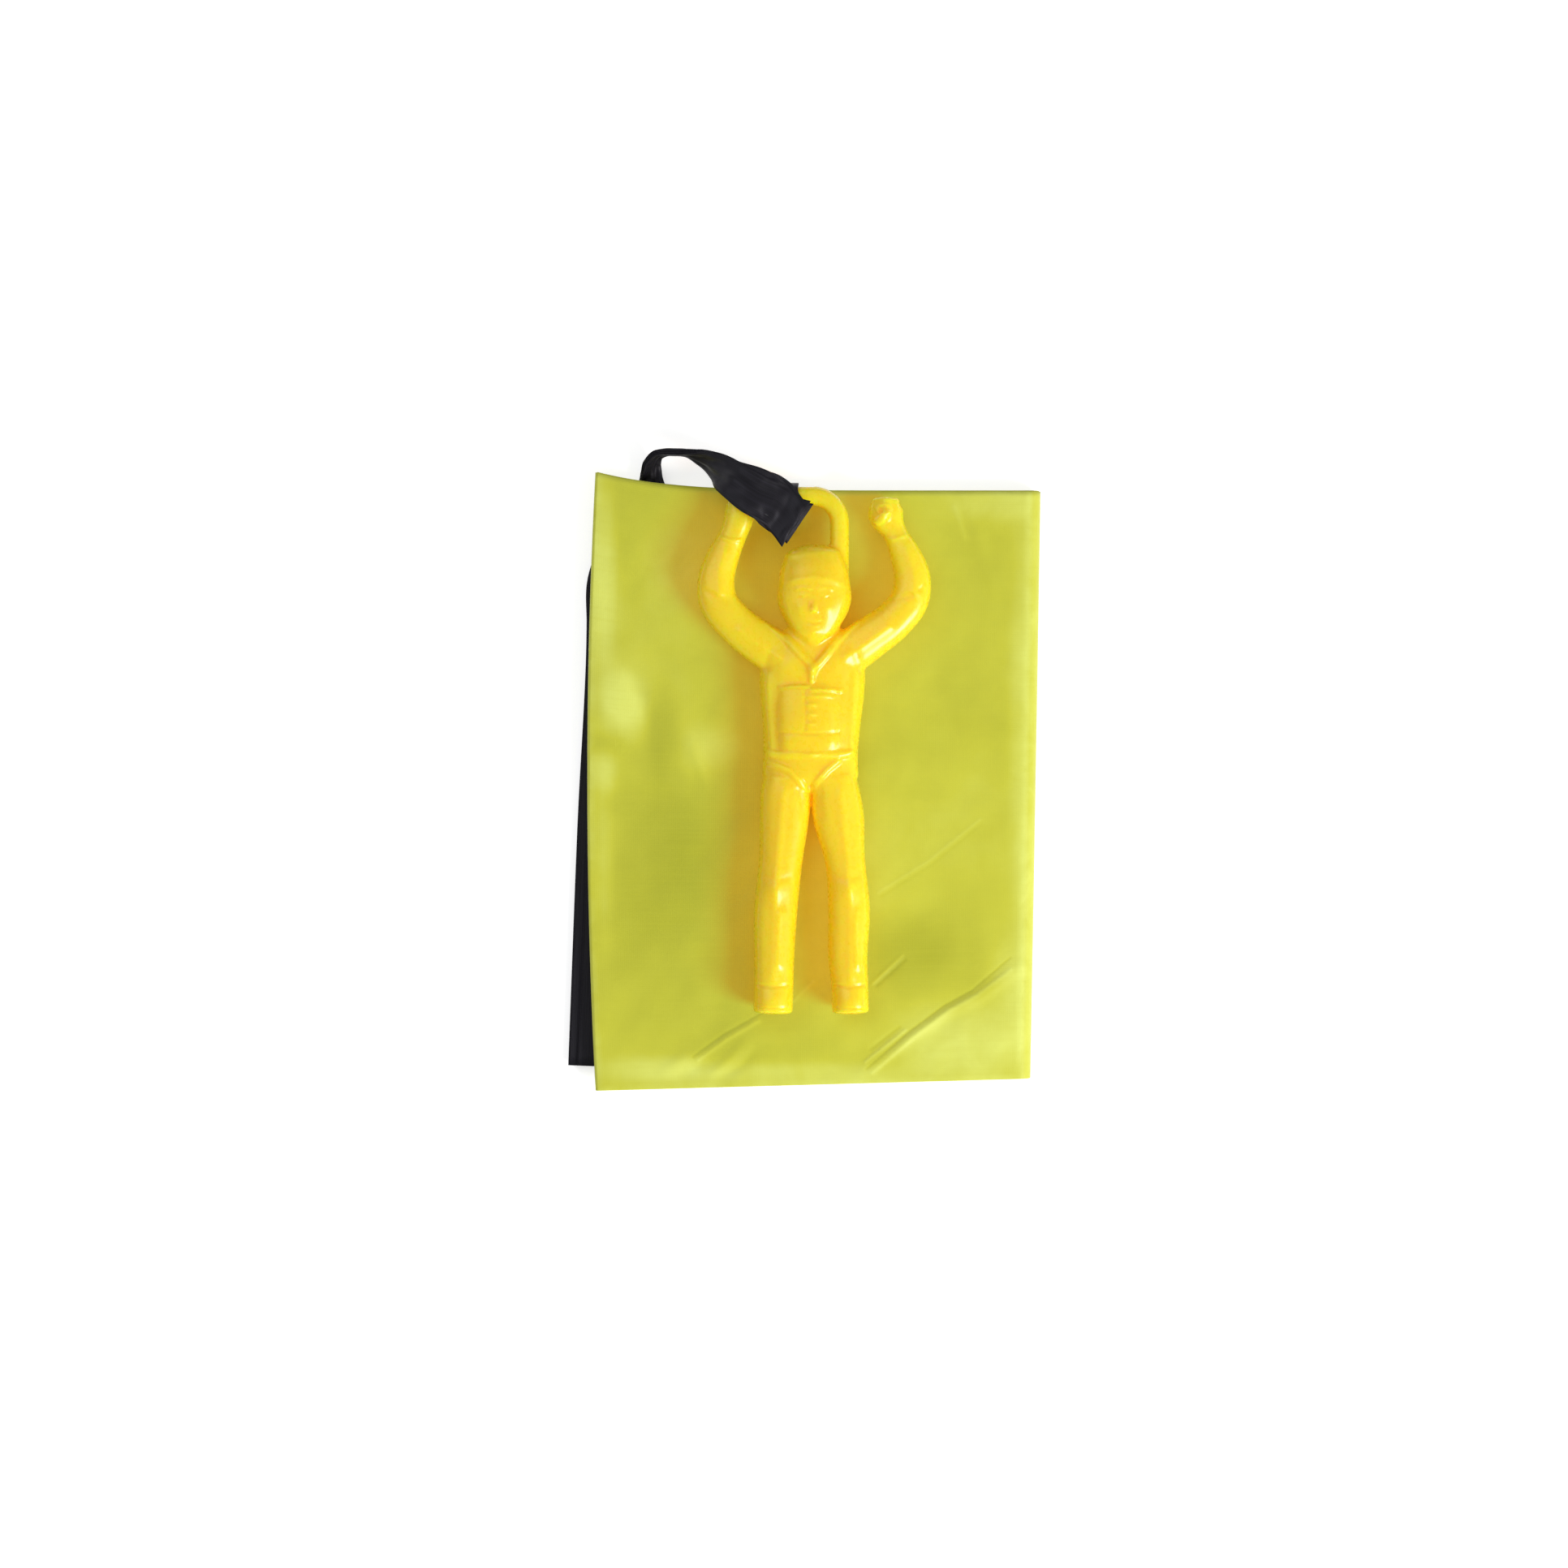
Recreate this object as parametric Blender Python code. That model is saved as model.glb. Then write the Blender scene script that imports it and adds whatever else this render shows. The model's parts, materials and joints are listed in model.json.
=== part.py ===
"""A packed toy parachute: a folded nylon canopy, four satin riser strips and a moulded skydiver.

It lies flat, as it is sold: +Z up, +Y towards the figure's hook. The origin is the middle of the
folded canopy's flat underside. Lengths are in metres.
"""

import math

import bmesh
import bpy
import numpy as np
from mathutils import Vector

# Canopy: the cloth and how it is folded
CLOTH_THICKNESS = 0.00010
LAYER_PITCH = 0.00030
COLUMN_WIDTH = 0.0955
ROW_LENGTH = 0.1330
RISER_POCKET = 0.0019

# Where the folded packet's corners lie, off a true rectangle
LEFT_TOP_PEAK = 0.0040
TOP_DROP = 0.0015
RIGHT_BOTTOM_RISE = 0.0012
LEFT_BOTTOM_DROP = 0.0014
RIGHT_BOTTOM_INSET = 0.0022
LEFT_EDGE_BULGE = 0.0018

# Riser strips
STRIP_WIDTH = 0.0100
STRIP_THICKNESS = 0.00018
STRIP_PITCH = 0.00034
HINGE_GAP = 0.0003
TACK_LENGTH = 0.0050
TACK_WIDTH = 0.0010
TACK_HEIGHT = 0.00026
LOOP_TACK_LENGTH = 0.0070
LOOP_TACK_WIDTH = 0.0011

# The stowed strips' places, in from the packet's left fold line and from its top or bottom fold line
OUTER_STRIP_FOOT_INSET = -0.00195
OUTER_STRIP_HEAD_INSET = 0.00215
OUTER_STRIP_STEP = 0.0019
STRIP_FOOT_INSET = 0.0037
STRIP_BEND_INSET = 0.0225
STRIP_STRAIGHT_LENGTH = 0.0080
CORNER_STRIP_INSET = 0.00525
CORNER_STRIP_TOP_INSET = 0.0065
CORNER_LEG_LENGTH = 0.0580
EXIT_INSET = 0.01155
EXIT_OVERHANG = 0.0010

# The lift hinge, at the outermost line of the strips' arc
ARC_INSET = 0.01675
ARC_OVERHANG = 0.0071
ARC_Z = 0.0061

# Figure
FIGURE_LENGTH = 0.1165
BACK_DEPTH = 0.0046
SEAT_GAP = 0.0003
MOULD_GRAIN = 0.0007

# Hook and the loop round its bar, which lies just inside the packet's top fold line
BAR_RADIUS = 0.0020
BAR_INSET = 0.0028
BAR_END_X = -0.0081
STEM_X = 0.0056
HOOK_BEND_RADIUS = 0.0060
LOOP_CLEARANCE = 0.0003
LOOP_WALL = 0.00075
LOOP_WIDTH = 0.0044
LOOP_END_MARGIN = 0.0003
LEAD_CLEARANCE = 0.00035
LEAD_TAIL = 0.0063

# Counts
FOLD_STEPS = 4
COLUMN_STEPS = 3
ROW_STEPS = 3
ROUND_SIDES = 16
LOOP_SIDES = 32
CAP_STEPS = 3
LEAD_STEPS = 4
STOWED_STEPS = 7
HOOK_STEPS = 8
PEAK_POWER = 6

# Derived heights
HALF_CLOTH = CLOTH_THICKNESS / 2
STACK_HEIGHT = 2 * LAYER_PITCH
INNER_LEFT_BASE = STACK_HEIGHT + LAYER_PITCH + RISER_POCKET
INNER_RIGHT_BASE = INNER_LEFT_BASE + STACK_HEIGHT + LAYER_PITCH
TOP_BASE = INNER_RIGHT_BASE + STACK_HEIGHT + LAYER_PITCH
PACKET_TOP = TOP_BASE + STACK_HEIGHT + CLOTH_THICKNESS
POCKET_MIDDLE = HALF_CLOTH + (STACK_HEIGHT + INNER_LEFT_BASE) / 2
PARTING_Z = PACKET_TOP + SEAT_GAP + BACK_DEPTH
LOOP_INNER_RADIUS = BAR_RADIUS + LOOP_CLEARANCE
LOOP_OUTER_RADIUS = LOOP_INNER_RADIUS + LOOP_WALL
LEAD_HALF_STACK = 1.5 * STRIP_PITCH + STRIP_THICKNESS / 2
LEAD_OVER_LOOP = LOOP_OUTER_RADIUS + LEAD_CLEARANCE + LEAD_HALF_STACK

# Derived places
LEFT_FOLD_X = -COLUMN_WIDTH / 2
TOP_FOLD_Y = ROW_LENGTH / 2
OUTER_STRIP_FOOT_X = LEFT_FOLD_X + OUTER_STRIP_FOOT_INSET
OUTER_STRIP_HEAD_X = LEFT_FOLD_X + OUTER_STRIP_HEAD_INSET
STRIP_FOOT_Y = STRIP_FOOT_INSET - TOP_FOLD_Y
STRIP_BEND_Y = TOP_FOLD_Y - STRIP_BEND_INSET
CORNER_STRIP_X = LEFT_FOLD_X + CORNER_STRIP_INSET
CORNER_STRIP_TOP_Y = TOP_FOLD_Y - CORNER_STRIP_TOP_INSET
CORNER_STRIP_FOOT_Y = CORNER_STRIP_TOP_Y - CORNER_LEG_LENGTH
EXIT_X = LEFT_FOLD_X + EXIT_INSET
EXIT_Y = TOP_FOLD_Y + EXIT_OVERHANG
ARC_X = LEFT_FOLD_X + ARC_INSET
ARC_Y = TOP_FOLD_Y + ARC_OVERHANG
BAR_Y = TOP_FOLD_Y - BAR_INSET
END_X = BAR_END_X + LOOP_END_MARGIN + LOOP_WIDTH
END_Y = BAR_Y - LEAD_TAIL
FIGURE_FOOT_Y = BAR_Y + BAR_RADIUS - FIGURE_LENGTH

# Levels of the strips in the pocket, in pitches from its middle
STRIP_LEVEL_SHARES = {1: -0.5, 2: 0.5, 3: -1.5, 4: 1.5}
CORNER_LEG_LEVEL_SHARES = {3: -2.5, 4: 2.5}

# The strips' shared route from the arc to the hook: x and y in shares of the way from the arc to the
# strips' end, then the height in shares of the way from the arc to its height over the loop, then the
# width's lean in degrees, then how wide the strip is, because it gathers where it bends
LEAD_ROUTE_SHARES = (
    (0.000, 0.000, 0.00, 90, 0.45),
    (0.090, 0.010, 0.02, 88, 0.52),
    (0.196, 0.080, 0.12, 70, 0.56),
    (0.321, 0.200, 0.47, 42, 0.66),
    (0.464, 0.375, 0.98, 4, 0.80),
    (0.643, 0.555, 1.20, -8, 0.94),
    (0.804, 0.730, 1.10, -12, 1.00),
    (0.929, 0.905, 1.06, -5, 1.00),
    (1.000, 1.000, 1.09, 0, 1.00),
)
# From the packet's edge up to the arc: the same kinds of share of the way from the exit to the arc
RISE_ROUTE_SHARES = (
    (0.00, -0.70, 0.00, 0, 0.90),
    (0.00, -0.30, 0.00, 0, 0.70),
    (0.00, 0.05, 0.00, 0, 0.52),
    (0.00, 0.28, 0.12, 12, 0.46),
    (0.03, 0.62, 0.48, 42, 0.42),
    (0.28, 0.92, 0.84, 72, 0.38),
    (0.64, 1.00, 0.97, 87, 0.38),
    (1.00, 1.00, 1.00, 90, 0.45),
)

# Figure's parts: across, along from the soles, up from the parting plane, half width and half depth,
# all in shares of the figure's length
HEAD_SHARES = (
    (-0.002, 0.866, 0.010, 0.0560, 0.0400),
    (-0.001, 0.846, 0.011, 0.0630, 0.0470),
    (0.000, 0.815, 0.012, 0.0680, 0.0510),
    (0.000, 0.785, 0.012, 0.0705, 0.0510),
    (0.000, 0.762, 0.012, 0.0640, 0.0480),
    (0.000, 0.741, 0.012, 0.0525, 0.0460),
    (0.000, 0.719, 0.013, 0.0370, 0.0400),
    (0.000, 0.707, 0.014, 0.0220, 0.0300),
)
TORSO_SHARES = (
    (-0.002, 0.722, 0.000, 0.060, 0.034),
    (-0.002, 0.690, 0.000, 0.092, 0.039),
    (-0.003, 0.650, 0.001, 0.099, 0.042),
    (-0.004, 0.600, 0.001, 0.0975, 0.042),
    (-0.005, 0.540, 0.001, 0.0910, 0.042),
    (-0.007, 0.480, 0.000, 0.0890, 0.040),
    (-0.007, 0.452, 0.000, 0.0905, 0.039),
)
CHEST_PACK_SHARES = (
    (-0.010, 0.618, 0.026, 0.0600, 0.022),
    (-0.010, 0.580, 0.027, 0.0620, 0.024),
    (-0.010, 0.540, 0.027, 0.0610, 0.024),
    (-0.010, 0.500, 0.025, 0.0580, 0.022),
)
LEFT_ARM_SHARES = (
    (-0.058, 0.676, 0.000, 0.043, 0.036),
    (-0.108, 0.708, 0.000, 0.040, 0.034),
    (-0.154, 0.745, 0.000, 0.037, 0.032),
    (-0.182, 0.782, 0.000, 0.036, 0.030),
    (-0.186, 0.822, 0.000, 0.034, 0.028),
    (-0.173, 0.868, 0.000, 0.030, 0.025),
    (-0.152, 0.914, 0.000, 0.0250, 0.022),
    (-0.142, 0.950, 0.000, 0.0270, 0.0235),
    (-0.144, 0.966, 0.000, 0.0240, 0.0215),
)
RIGHT_ARM_SHARES = (
    (0.052, 0.676, 0.000, 0.043, 0.036),
    (0.104, 0.712, 0.000, 0.040, 0.034),
    (0.152, 0.748, 0.000, 0.037, 0.032),
    (0.181, 0.786, 0.000, 0.036, 0.030),
    (0.186, 0.828, 0.000, 0.034, 0.028),
    (0.171, 0.876, 0.000, 0.028, 0.026),
    (0.151, 0.916, 0.000, 0.0225, 0.022),
    (0.1355, 0.950, 0.000, 0.0330, 0.0245),
    (0.1345, 0.965, 0.000, 0.0280, 0.0225),
)
LEFT_LEG_SHARES = (
    (-0.050, 0.446, 0.000, 0.0440, 0.038),
    (-0.0540, 0.422, 0.000, 0.0465, 0.038),
    (-0.0556, 0.3835, 0.000, 0.0463, 0.037),
    (-0.0633, 0.291, 0.000, 0.0402, 0.036),
    (-0.0726, 0.198, 0.001, 0.0402, 0.034),
    (-0.0757, 0.105, 0.001, 0.0371, 0.032),
    (-0.0765, 0.051, 0.002, 0.0363, 0.032),
    (-0.0780, 0.005, 0.004, 0.0363, 0.034),
)
RIGHT_LEG_SHARES = (
    (0.034, 0.446, 0.000, 0.0440, 0.038),
    (0.0400, 0.422, 0.000, 0.0450, 0.038),
    (0.0448, 0.3835, 0.000, 0.0479, 0.037),
    (0.0587, 0.291, 0.000, 0.0371, 0.036),
    (0.0664, 0.198, 0.001, 0.0386, 0.034),
    (0.0641, 0.105, 0.001, 0.0363, 0.032),
    (0.0680, 0.051, 0.002, 0.0340, 0.032),
    (0.0690, 0.005, 0.004, 0.0340, 0.034),
)
FIGURE_DECIMATE_SHARE = 0.13
# How square a limb's section is: 1 is an ellipse
SQUARENESS_SHARE = 0.82
# How far a limb's rounded end stands out, as a share of its thinner half: the soles are nearly flat
CAP_SHARE = 0.6
SOLE_CAP_SHARE = 0.15
# Where the hook's stem stands in the head, from the soles
STEM_FOOT_SHARE = 0.800

# A packed row of stitches in section: across its width, and up its height
STITCH_SECTION_SHARES = ((-0.5, -0.5), (0.5, -0.5), (0.5, 0.1), (0.25, 0.5), (-0.25, 0.5), (-0.5, 0.1))


def clear_scene():
    for old in list(bpy.data.objects):
        bpy.data.objects.remove(old)


def plastic_or_cloth(name, colour, roughness):
    material = bpy.data.materials.new(name)
    material.use_nodes = True
    shader = material.node_tree.nodes["Principled BSDF"]
    shader.inputs["Base Color"].default_value = colour
    shader.inputs["Roughness"].default_value = roughness
    shader.inputs["Metallic"].default_value = 0
    return material


def mesh_object(name, points, faces, material, origin=(0, 0, 0)):
    """An object with this mesh, its origin at this point of the world."""
    place = Vector(origin)
    mesh = bpy.data.meshes.new(name)
    mesh.from_pydata([tuple(Vector(point) - place) for point in points], [], faces)
    body = bmesh.new()
    body.from_mesh(mesh)
    bmesh.ops.recalc_face_normals(body, faces=body.faces)
    if body.calc_volume(signed=True) < 0:
        bmesh.ops.reverse_faces(body, faces=body.faces)
    body.to_mesh(mesh)
    body.free()
    mesh.shade_smooth()
    mesh.set_sharp_from_angle(angle=math.radians(35))
    mesh.materials.append(material)
    made = bpy.data.objects.new(name, mesh)
    made.location = place
    bpy.context.scene.collection.objects.link(made)
    return made


def row_profile():
    """The cloth's folds along Y: (place along the packet, layer) down, up and down again."""
    half = ROW_LENGTH / 2
    fold = LAYER_PITCH / 2
    profile = []
    for layer in range(3):
        way = 1 if layer == 1 else -1
        for step in range(ROW_STEPS + 1):
            profile.append((way * half * (2 * step / ROW_STEPS - 1), layer))
        if layer < 2:
            for step in range(1, FOLD_STEPS):
                turn = math.pi * step / FOLD_STEPS
                profile.append((way * (half + fold * math.sin(turn)), layer + (1 - math.cos(turn)) / 2))
    return profile


def column_heights(layer):
    """The four columns' heights at this layer of the stack, in the order that the cloth runs."""
    rise = layer * LAYER_PITCH
    return (
        rise,
        TOP_BASE + STACK_HEIGHT - rise,
        INNER_RIGHT_BASE + rise,
        INNER_LEFT_BASE + STACK_HEIGHT - rise,
    )


def column_path(layer):
    """The cloth's folds across X at this layer: out along the bottom, round over the top and back in."""
    half = COLUMN_WIDTH / 2
    heights = column_heights(layer)
    path = []
    for column, height in enumerate(heights):
        way = 1 if column % 2 == 0 else -1
        for step in range(COLUMN_STEPS + 1):
            path.append((way * half * (2 * step / COLUMN_STEPS - 1), height))
        if column == 3:
            break
        centre = (height + heights[column + 1]) / 2
        radius = (heights[column + 1] - height) / 2
        for step in range(1, FOLD_STEPS):
            turn = math.pi * step / FOLD_STEPS
            path.append((way * (half + abs(radius) * math.sin(turn)), centre - radius * math.cos(turn)))
    return path


def laid_down(x, y):
    """The packet's outline as it lies: a little out of square, its left edge bowed out."""
    across = x / COLUMN_WIDTH + 0.5
    along = y / ROW_LENGTH + 0.5
    top = LEFT_TOP_PEAK * (1 - across) ** PEAK_POWER - TOP_DROP
    bottom = RIGHT_BOTTOM_RISE * across - LEFT_BOTTOM_DROP * (1 - across)
    inset = RIGHT_BOTTOM_INSET * across * (1 - along)
    bulge = LEFT_EDGE_BULGE * (1 - across) * 4 * along * (1 - along)
    return x - inset - bulge, y + top * along + bottom * (1 - along)


def make_canopy(material):
    rows = row_profile()
    points = []
    for along, layer in rows:
        for across, height in column_path(layer):
            x, y = laid_down(across, along)
            points.append((x, y, height + HALF_CLOTH))
    wide = len(column_path(0))
    faces = []
    for row in range(len(rows) - 1):
        for column in range(wide - 1):
            corner = row * wide + column
            faces.append((corner, corner + 1, corner + wide + 1, corner + wide))
    canopy = mesh_object("canopy", points, faces, material)
    cloth = canopy.modifiers.new("cloth", "SOLIDIFY")
    cloth.thickness = CLOTH_THICKNESS
    cloth.offset = 0
    return canopy


def smooth_route(rows, steps):
    """A smooth curve through the rows, each a place, a lean and a width share, and its direction at each step."""
    rows = np.array(rows, float)
    spans = np.linalg.norm(np.diff(rows[:, :3], axis=0), axis=1)[:, None]
    slopes = np.diff(rows, axis=0) / spans
    inner = (slopes[:-1] * spans[1:] + slopes[1:] * spans[:-1]) / (spans[1:] + spans[:-1])
    tangents = np.vstack([slopes[:1], inner, slopes[-1:]])
    route = []
    for index, span in enumerate(spans[:, 0]):
        rise = rows[index + 1] - rows[index]
        leave, arrive = tangents[index] * span, tangents[index + 1] * span
        square = 3 * rise - 2 * leave - arrive
        cube = leave + arrive - 2 * rise
        last = index == len(spans) - 1
        for step in range(steps + last):
            t = step / steps
            row = rows[index] + leave * t + square * t * t + cube * t * t * t
            direction = leave + 2 * square * t + 3 * cube * t * t
            route.append((row, direction[:3]))
    return route


def strip_frames(route):
    """Each point of the route with its width and face directions and its width share. Leans are in degrees."""
    frames = []
    for row, direction in route:
        ahead = Vector(direction).normalized()
        side = ahead.cross(Vector((0, 0, 1))).normalized()
        up = side.cross(ahead).normalized()
        lean = math.radians(row[3])
        width = side * math.cos(lean) - up * math.sin(lean)
        face = width.cross(ahead).normalized()
        frames.append((Vector(row[:3]), width, face, row[4]))
    return frames


def strip_solid(name, frames, material, origin=(0, 0, 0)):
    """A flat strip of the riser's width and thickness through these frames."""
    points = []
    for place, width, face, share in frames:
        out = width * (share * STRIP_WIDTH / 2)
        up = face * (STRIP_THICKNESS / 2)
        points += [place - out - up, place + out - up, place + out + up, place - out + up]
    faces = [(3, 2, 1, 0), tuple(len(points) - 4 + corner for corner in range(4))]
    # Both faces of every strip are cut along the same diagonal, so that a twist keeps their gaps even
    diagonals = {0: 0, 1: 0, 2: 1, 3: 0}
    for ring in range(len(frames) - 1):
        for corner, diagonal in diagonals.items():
            after = (corner + 1) % 4
            near, far = 4 * ring, 4 * ring + 4
            if diagonal:
                faces.append((near + corner, near + after, far + corner))
                faces.append((near + after, far + after, far + corner))
            else:
                faces.append((near + corner, near + after, far + after))
                faces.append((near + corner, far + after, far + corner))
    return mesh_object(name, points, faces, material, origin)


def offset_frames(frames, level):
    return [
        (place + face * (level * STRIP_PITCH), width, face, share) for place, width, face, share in frames
    ]


def lead_frames():
    """The gathered strips' middle, from the arc to their end over the hook."""
    over_loop = PARTING_Z + LEAD_OVER_LOOP
    rows = [
        (
            ARC_X + across * (END_X - ARC_X),
            ARC_Y + along * (END_Y - ARC_Y),
            ARC_Z + up * (over_loop - ARC_Z),
            lean,
            share,
        )
        for across, along, up, lean, share in LEAD_ROUTE_SHARES
    ]
    return strip_frames(smooth_route(rows, LEAD_STEPS))


def rise_rows():
    """The gathered strips' middle, from the packet's edge up to the arc."""
    return [
        (
            EXIT_X + across * (ARC_X - EXIT_X),
            EXIT_Y + along * (ARC_Y - EXIT_Y),
            POCKET_MIDDLE + up * (ARC_Z - POCKET_MIDDLE),
            lean,
            share,
        )
        for across, along, up, lean, share in RISE_ROUTE_SHARES
    ]


def pocket_rows(number):
    """Where this riser lies in the pocket, from its sewn end to the packet's edge."""
    if number in CORNER_LEG_LEVEL_SHARES:
        return [(CORNER_STRIP_X, CORNER_STRIP_FOOT_Y, POCKET_MIDDLE, 0, 1)]
    step = OUTER_STRIP_STEP * (number - 1)
    middle_y = (STRIP_FOOT_Y + STRIP_BEND_Y) / 2
    middle_x = (OUTER_STRIP_FOOT_X + OUTER_STRIP_HEAD_X) / 2
    return [
        (OUTER_STRIP_FOOT_X + step, STRIP_FOOT_Y, POCKET_MIDDLE, 0, 1),
        (middle_x + step, middle_y, POCKET_MIDDLE, 0, 1),
        (OUTER_STRIP_HEAD_X + step / 2, STRIP_BEND_Y - STRIP_STRAIGHT_LENGTH, POCKET_MIDDLE, 0, 1),
        (OUTER_STRIP_HEAD_X + step / 2, STRIP_BEND_Y, POCKET_MIDDLE, 0, 1),
    ]


def corner_leg(number):
    """The first leg of a riser that is sewn at the top corner: down the pocket and round its hairpin."""
    start = CORNER_LEG_LEVEL_SHARES[number] * STRIP_PITCH
    end = STRIP_LEVEL_SHARES[number] * STRIP_PITCH
    width = Vector((1, 0, 0))
    up = Vector((0, 0, 1))
    frames = []
    for along in np.linspace(CORNER_STRIP_TOP_Y, CORNER_STRIP_FOOT_Y, 3):
        frames.append((Vector((CORNER_STRIP_X, along, POCKET_MIDDLE + start)), width, -up, 1))
    radius = (end - start) / 2
    for step in range(1, FOLD_STEPS):
        turn = math.pi * step / FOLD_STEPS
        place = Vector(
            (
                CORNER_STRIP_X,
                CORNER_STRIP_FOOT_Y - abs(radius) * math.sin(turn),
                POCKET_MIDDLE + start + radius * (1 - math.cos(turn)),
            )
        )
        way = 1 if radius > 0 else -1
        face = Vector((0, -way * math.sin(turn), -math.cos(turn)))
        frames.append((place, width, face, 1))
    return frames


def make_risers(material):
    """Each riser in two solids, which meet at the arc's hinge line."""
    lead = lead_frames()
    rise = rise_rows()
    axis = (ARC_X, ARC_Y, ARC_Z)
    shift = Vector((HINGE_GAP / 2, 0, 0))
    for number, level in STRIP_LEVEL_SHARES.items():
        route = smooth_route(pocket_rows(number) + rise, STOWED_STEPS)
        stowed = offset_frames(strip_frames(route), level)
        if number in CORNER_LEG_LEVEL_SHARES:
            stowed = corner_leg(number) + stowed
        place, *rest = stowed[-1]
        stowed[-1] = (place - shift, *rest)
        strip_solid(f"riser_{number}_stowed", stowed, material)
        free = offset_frames(lead, level)
        place, *rest = free[0]
        free[0] = (place + shift, *rest)
        strip_solid(f"riser_{number}_lead", free, material, axis)


def thread_bar(name, centre, along, across, up, size, material, origin=(0, 0, 0)):
    """A short bar of packed stitches with chamfered long edges."""
    length, width, height = size
    points = []
    for end in (-0.5, 0.5):
        for side, rise in STITCH_SECTION_SHARES:
            points.append(
                centre + along * (end * length) + across * (side * width) + up * (rise * height)
            )
    count = len(STITCH_SECTION_SHARES)
    faces = [tuple(range(count)), tuple(range(2 * count - 1, count - 1, -1))]
    for corner in range(count):
        after = (corner + 1) % count
        faces.append((corner, after, count + after, count + corner))
    return mesh_object(name, points, faces, material, origin)


def make_tacks(material):
    """The stitching at each riser's sewn end, and the bar tack that closes the loop."""
    right, ahead, up = Vector((1, 0, 0)), Vector((0, 1, 0)), Vector((0, 0, 1))
    beyond = SEAT_GAP + TACK_WIDTH / 2
    size = (TACK_LENGTH, TACK_WIDTH, TACK_HEIGHT)
    for number, level in STRIP_LEVEL_SHARES.items():
        if number in CORNER_LEG_LEVEL_SHARES:
            place = (
                CORNER_STRIP_X,
                CORNER_STRIP_TOP_Y + beyond,
                POCKET_MIDDLE + CORNER_LEG_LEVEL_SHARES[number] * STRIP_PITCH,
            )
        else:
            place = (
                OUTER_STRIP_FOOT_X + TACK_LENGTH / 2 + OUTER_STRIP_STEP,
                STRIP_FOOT_Y - beyond,
                POCKET_MIDDLE + level * STRIP_PITCH,
            )
        thread_bar(f"corner_tack_{number}", Vector(place), right, ahead, up, size, material)
    lead = lead_frames()
    place, width, face, _ = lead[-1 - 2 * LEAD_STEPS]
    over = LEAD_HALF_STACK + SEAT_GAP + TACK_HEIGHT / 2
    thread_bar(
        "loop_bar_tack",
        place + face * over,
        width,
        width.cross(face).normalized(),
        face,
        (LOOP_TACK_LENGTH, LOOP_TACK_WIDTH, TACK_HEIGHT),
        material,
        (ARC_X, ARC_Y, ARC_Z),
    )


def make_hook_loop(material):
    """The strips' ends turned round the hook's bar: a short sleeve."""
    start = BAR_END_X + LOOP_END_MARGIN
    points = []
    for across, radius in (
        (start, LOOP_INNER_RADIUS),
        (start, LOOP_OUTER_RADIUS),
        (start + LOOP_WIDTH, LOOP_OUTER_RADIUS),
        (start + LOOP_WIDTH, LOOP_INNER_RADIUS),
    ):
        for side in range(LOOP_SIDES):
            turn = 2 * math.pi * side / LOOP_SIDES
            points.append((across, BAR_Y + radius * math.cos(turn), PARTING_Z + radius * math.sin(turn)))
    faces = []
    for ring in range(4):
        for side in range(LOOP_SIDES):
            after = (side + 1) % LOOP_SIDES
            near, far = ring * LOOP_SIDES, (ring + 1) % 4 * LOOP_SIDES
            faces.append((near + side, near + after, far + after, far + side))
    return mesh_object("hook_loop", points, faces, material, (start, BAR_Y, PARTING_Z))


def section_ring(centre, side, half_width, half_depth):
    """A rounded section across a limb."""
    ring = []
    for step in range(ROUND_SIDES):
        turn = 2 * math.pi * step / ROUND_SIDES
        wide, deep = math.cos(turn), math.sin(turn)
        wide = math.copysign(abs(wide) ** SQUARENESS_SHARE, wide)
        deep = math.copysign(abs(deep) ** SQUARENESS_SHARE, deep)
        ring.append(centre + side * (wide * half_width) + Vector((0, 0, deep * half_depth)))
    return ring


def limb(rows, cap_share=CAP_SHARE):
    """Points and faces of one limb: sections along its line, with rounded ends."""
    places = [Vector(row[:3]) for row in rows]
    rings = []
    for index, row in enumerate(rows):
        ahead = places[min(index + 1, len(rows) - 1)] - places[max(index - 1, 0)]
        side = Vector((ahead.y, -ahead.x, 0)).normalized()
        rings.append((places[index], ahead.normalized(), side, row[3], row[4]))

    def cap(place, way, side, wide, deep):
        made = []
        for step in range(1, CAP_STEPS + 1):
            turn = math.pi / 2 * step / (CAP_STEPS + 0.5)
            centre = place + way * (min(wide, deep) * cap_share * math.sin(turn))
            made.append(section_ring(centre, side, wide * math.cos(turn), deep * math.cos(turn)))
        return made

    place, ahead, side, wide, deep = rings[0]
    loops = cap(place, -ahead, side, wide, deep)[::-1]
    loops += [section_ring(place, side, wide, deep) for place, _, side, wide, deep in rings]
    place, ahead, side, wide, deep = rings[-1]
    loops += cap(place, ahead, side, wide, deep)
    points = [point for loop in loops for point in loop]
    faces = [tuple(range(ROUND_SIDES)), tuple(range(len(points) - 1, len(points) - ROUND_SIDES - 1, -1))]
    for ring in range(len(loops) - 1):
        for step in range(ROUND_SIDES):
            after = (step + 1) % ROUND_SIDES
            near, far = ring * ROUND_SIDES, (ring + 1) * ROUND_SIDES
            faces.append((near + step, near + after, far + after, far + step))
    return points, faces


def body_part(shares, cap_share=CAP_SHARE):
    """A limb from its table of shares, in the world."""
    rows = []
    for across, along, up, wide, deep in shares:
        rows.append(
            (
                across * FIGURE_LENGTH,
                FIGURE_FOOT_Y + along * FIGURE_LENGTH,
                PARTING_Z + up * FIGURE_LENGTH,
                wide * FIGURE_LENGTH,
                deep * FIGURE_LENGTH,
            )
        )
    return limb(rows, cap_share)


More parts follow.
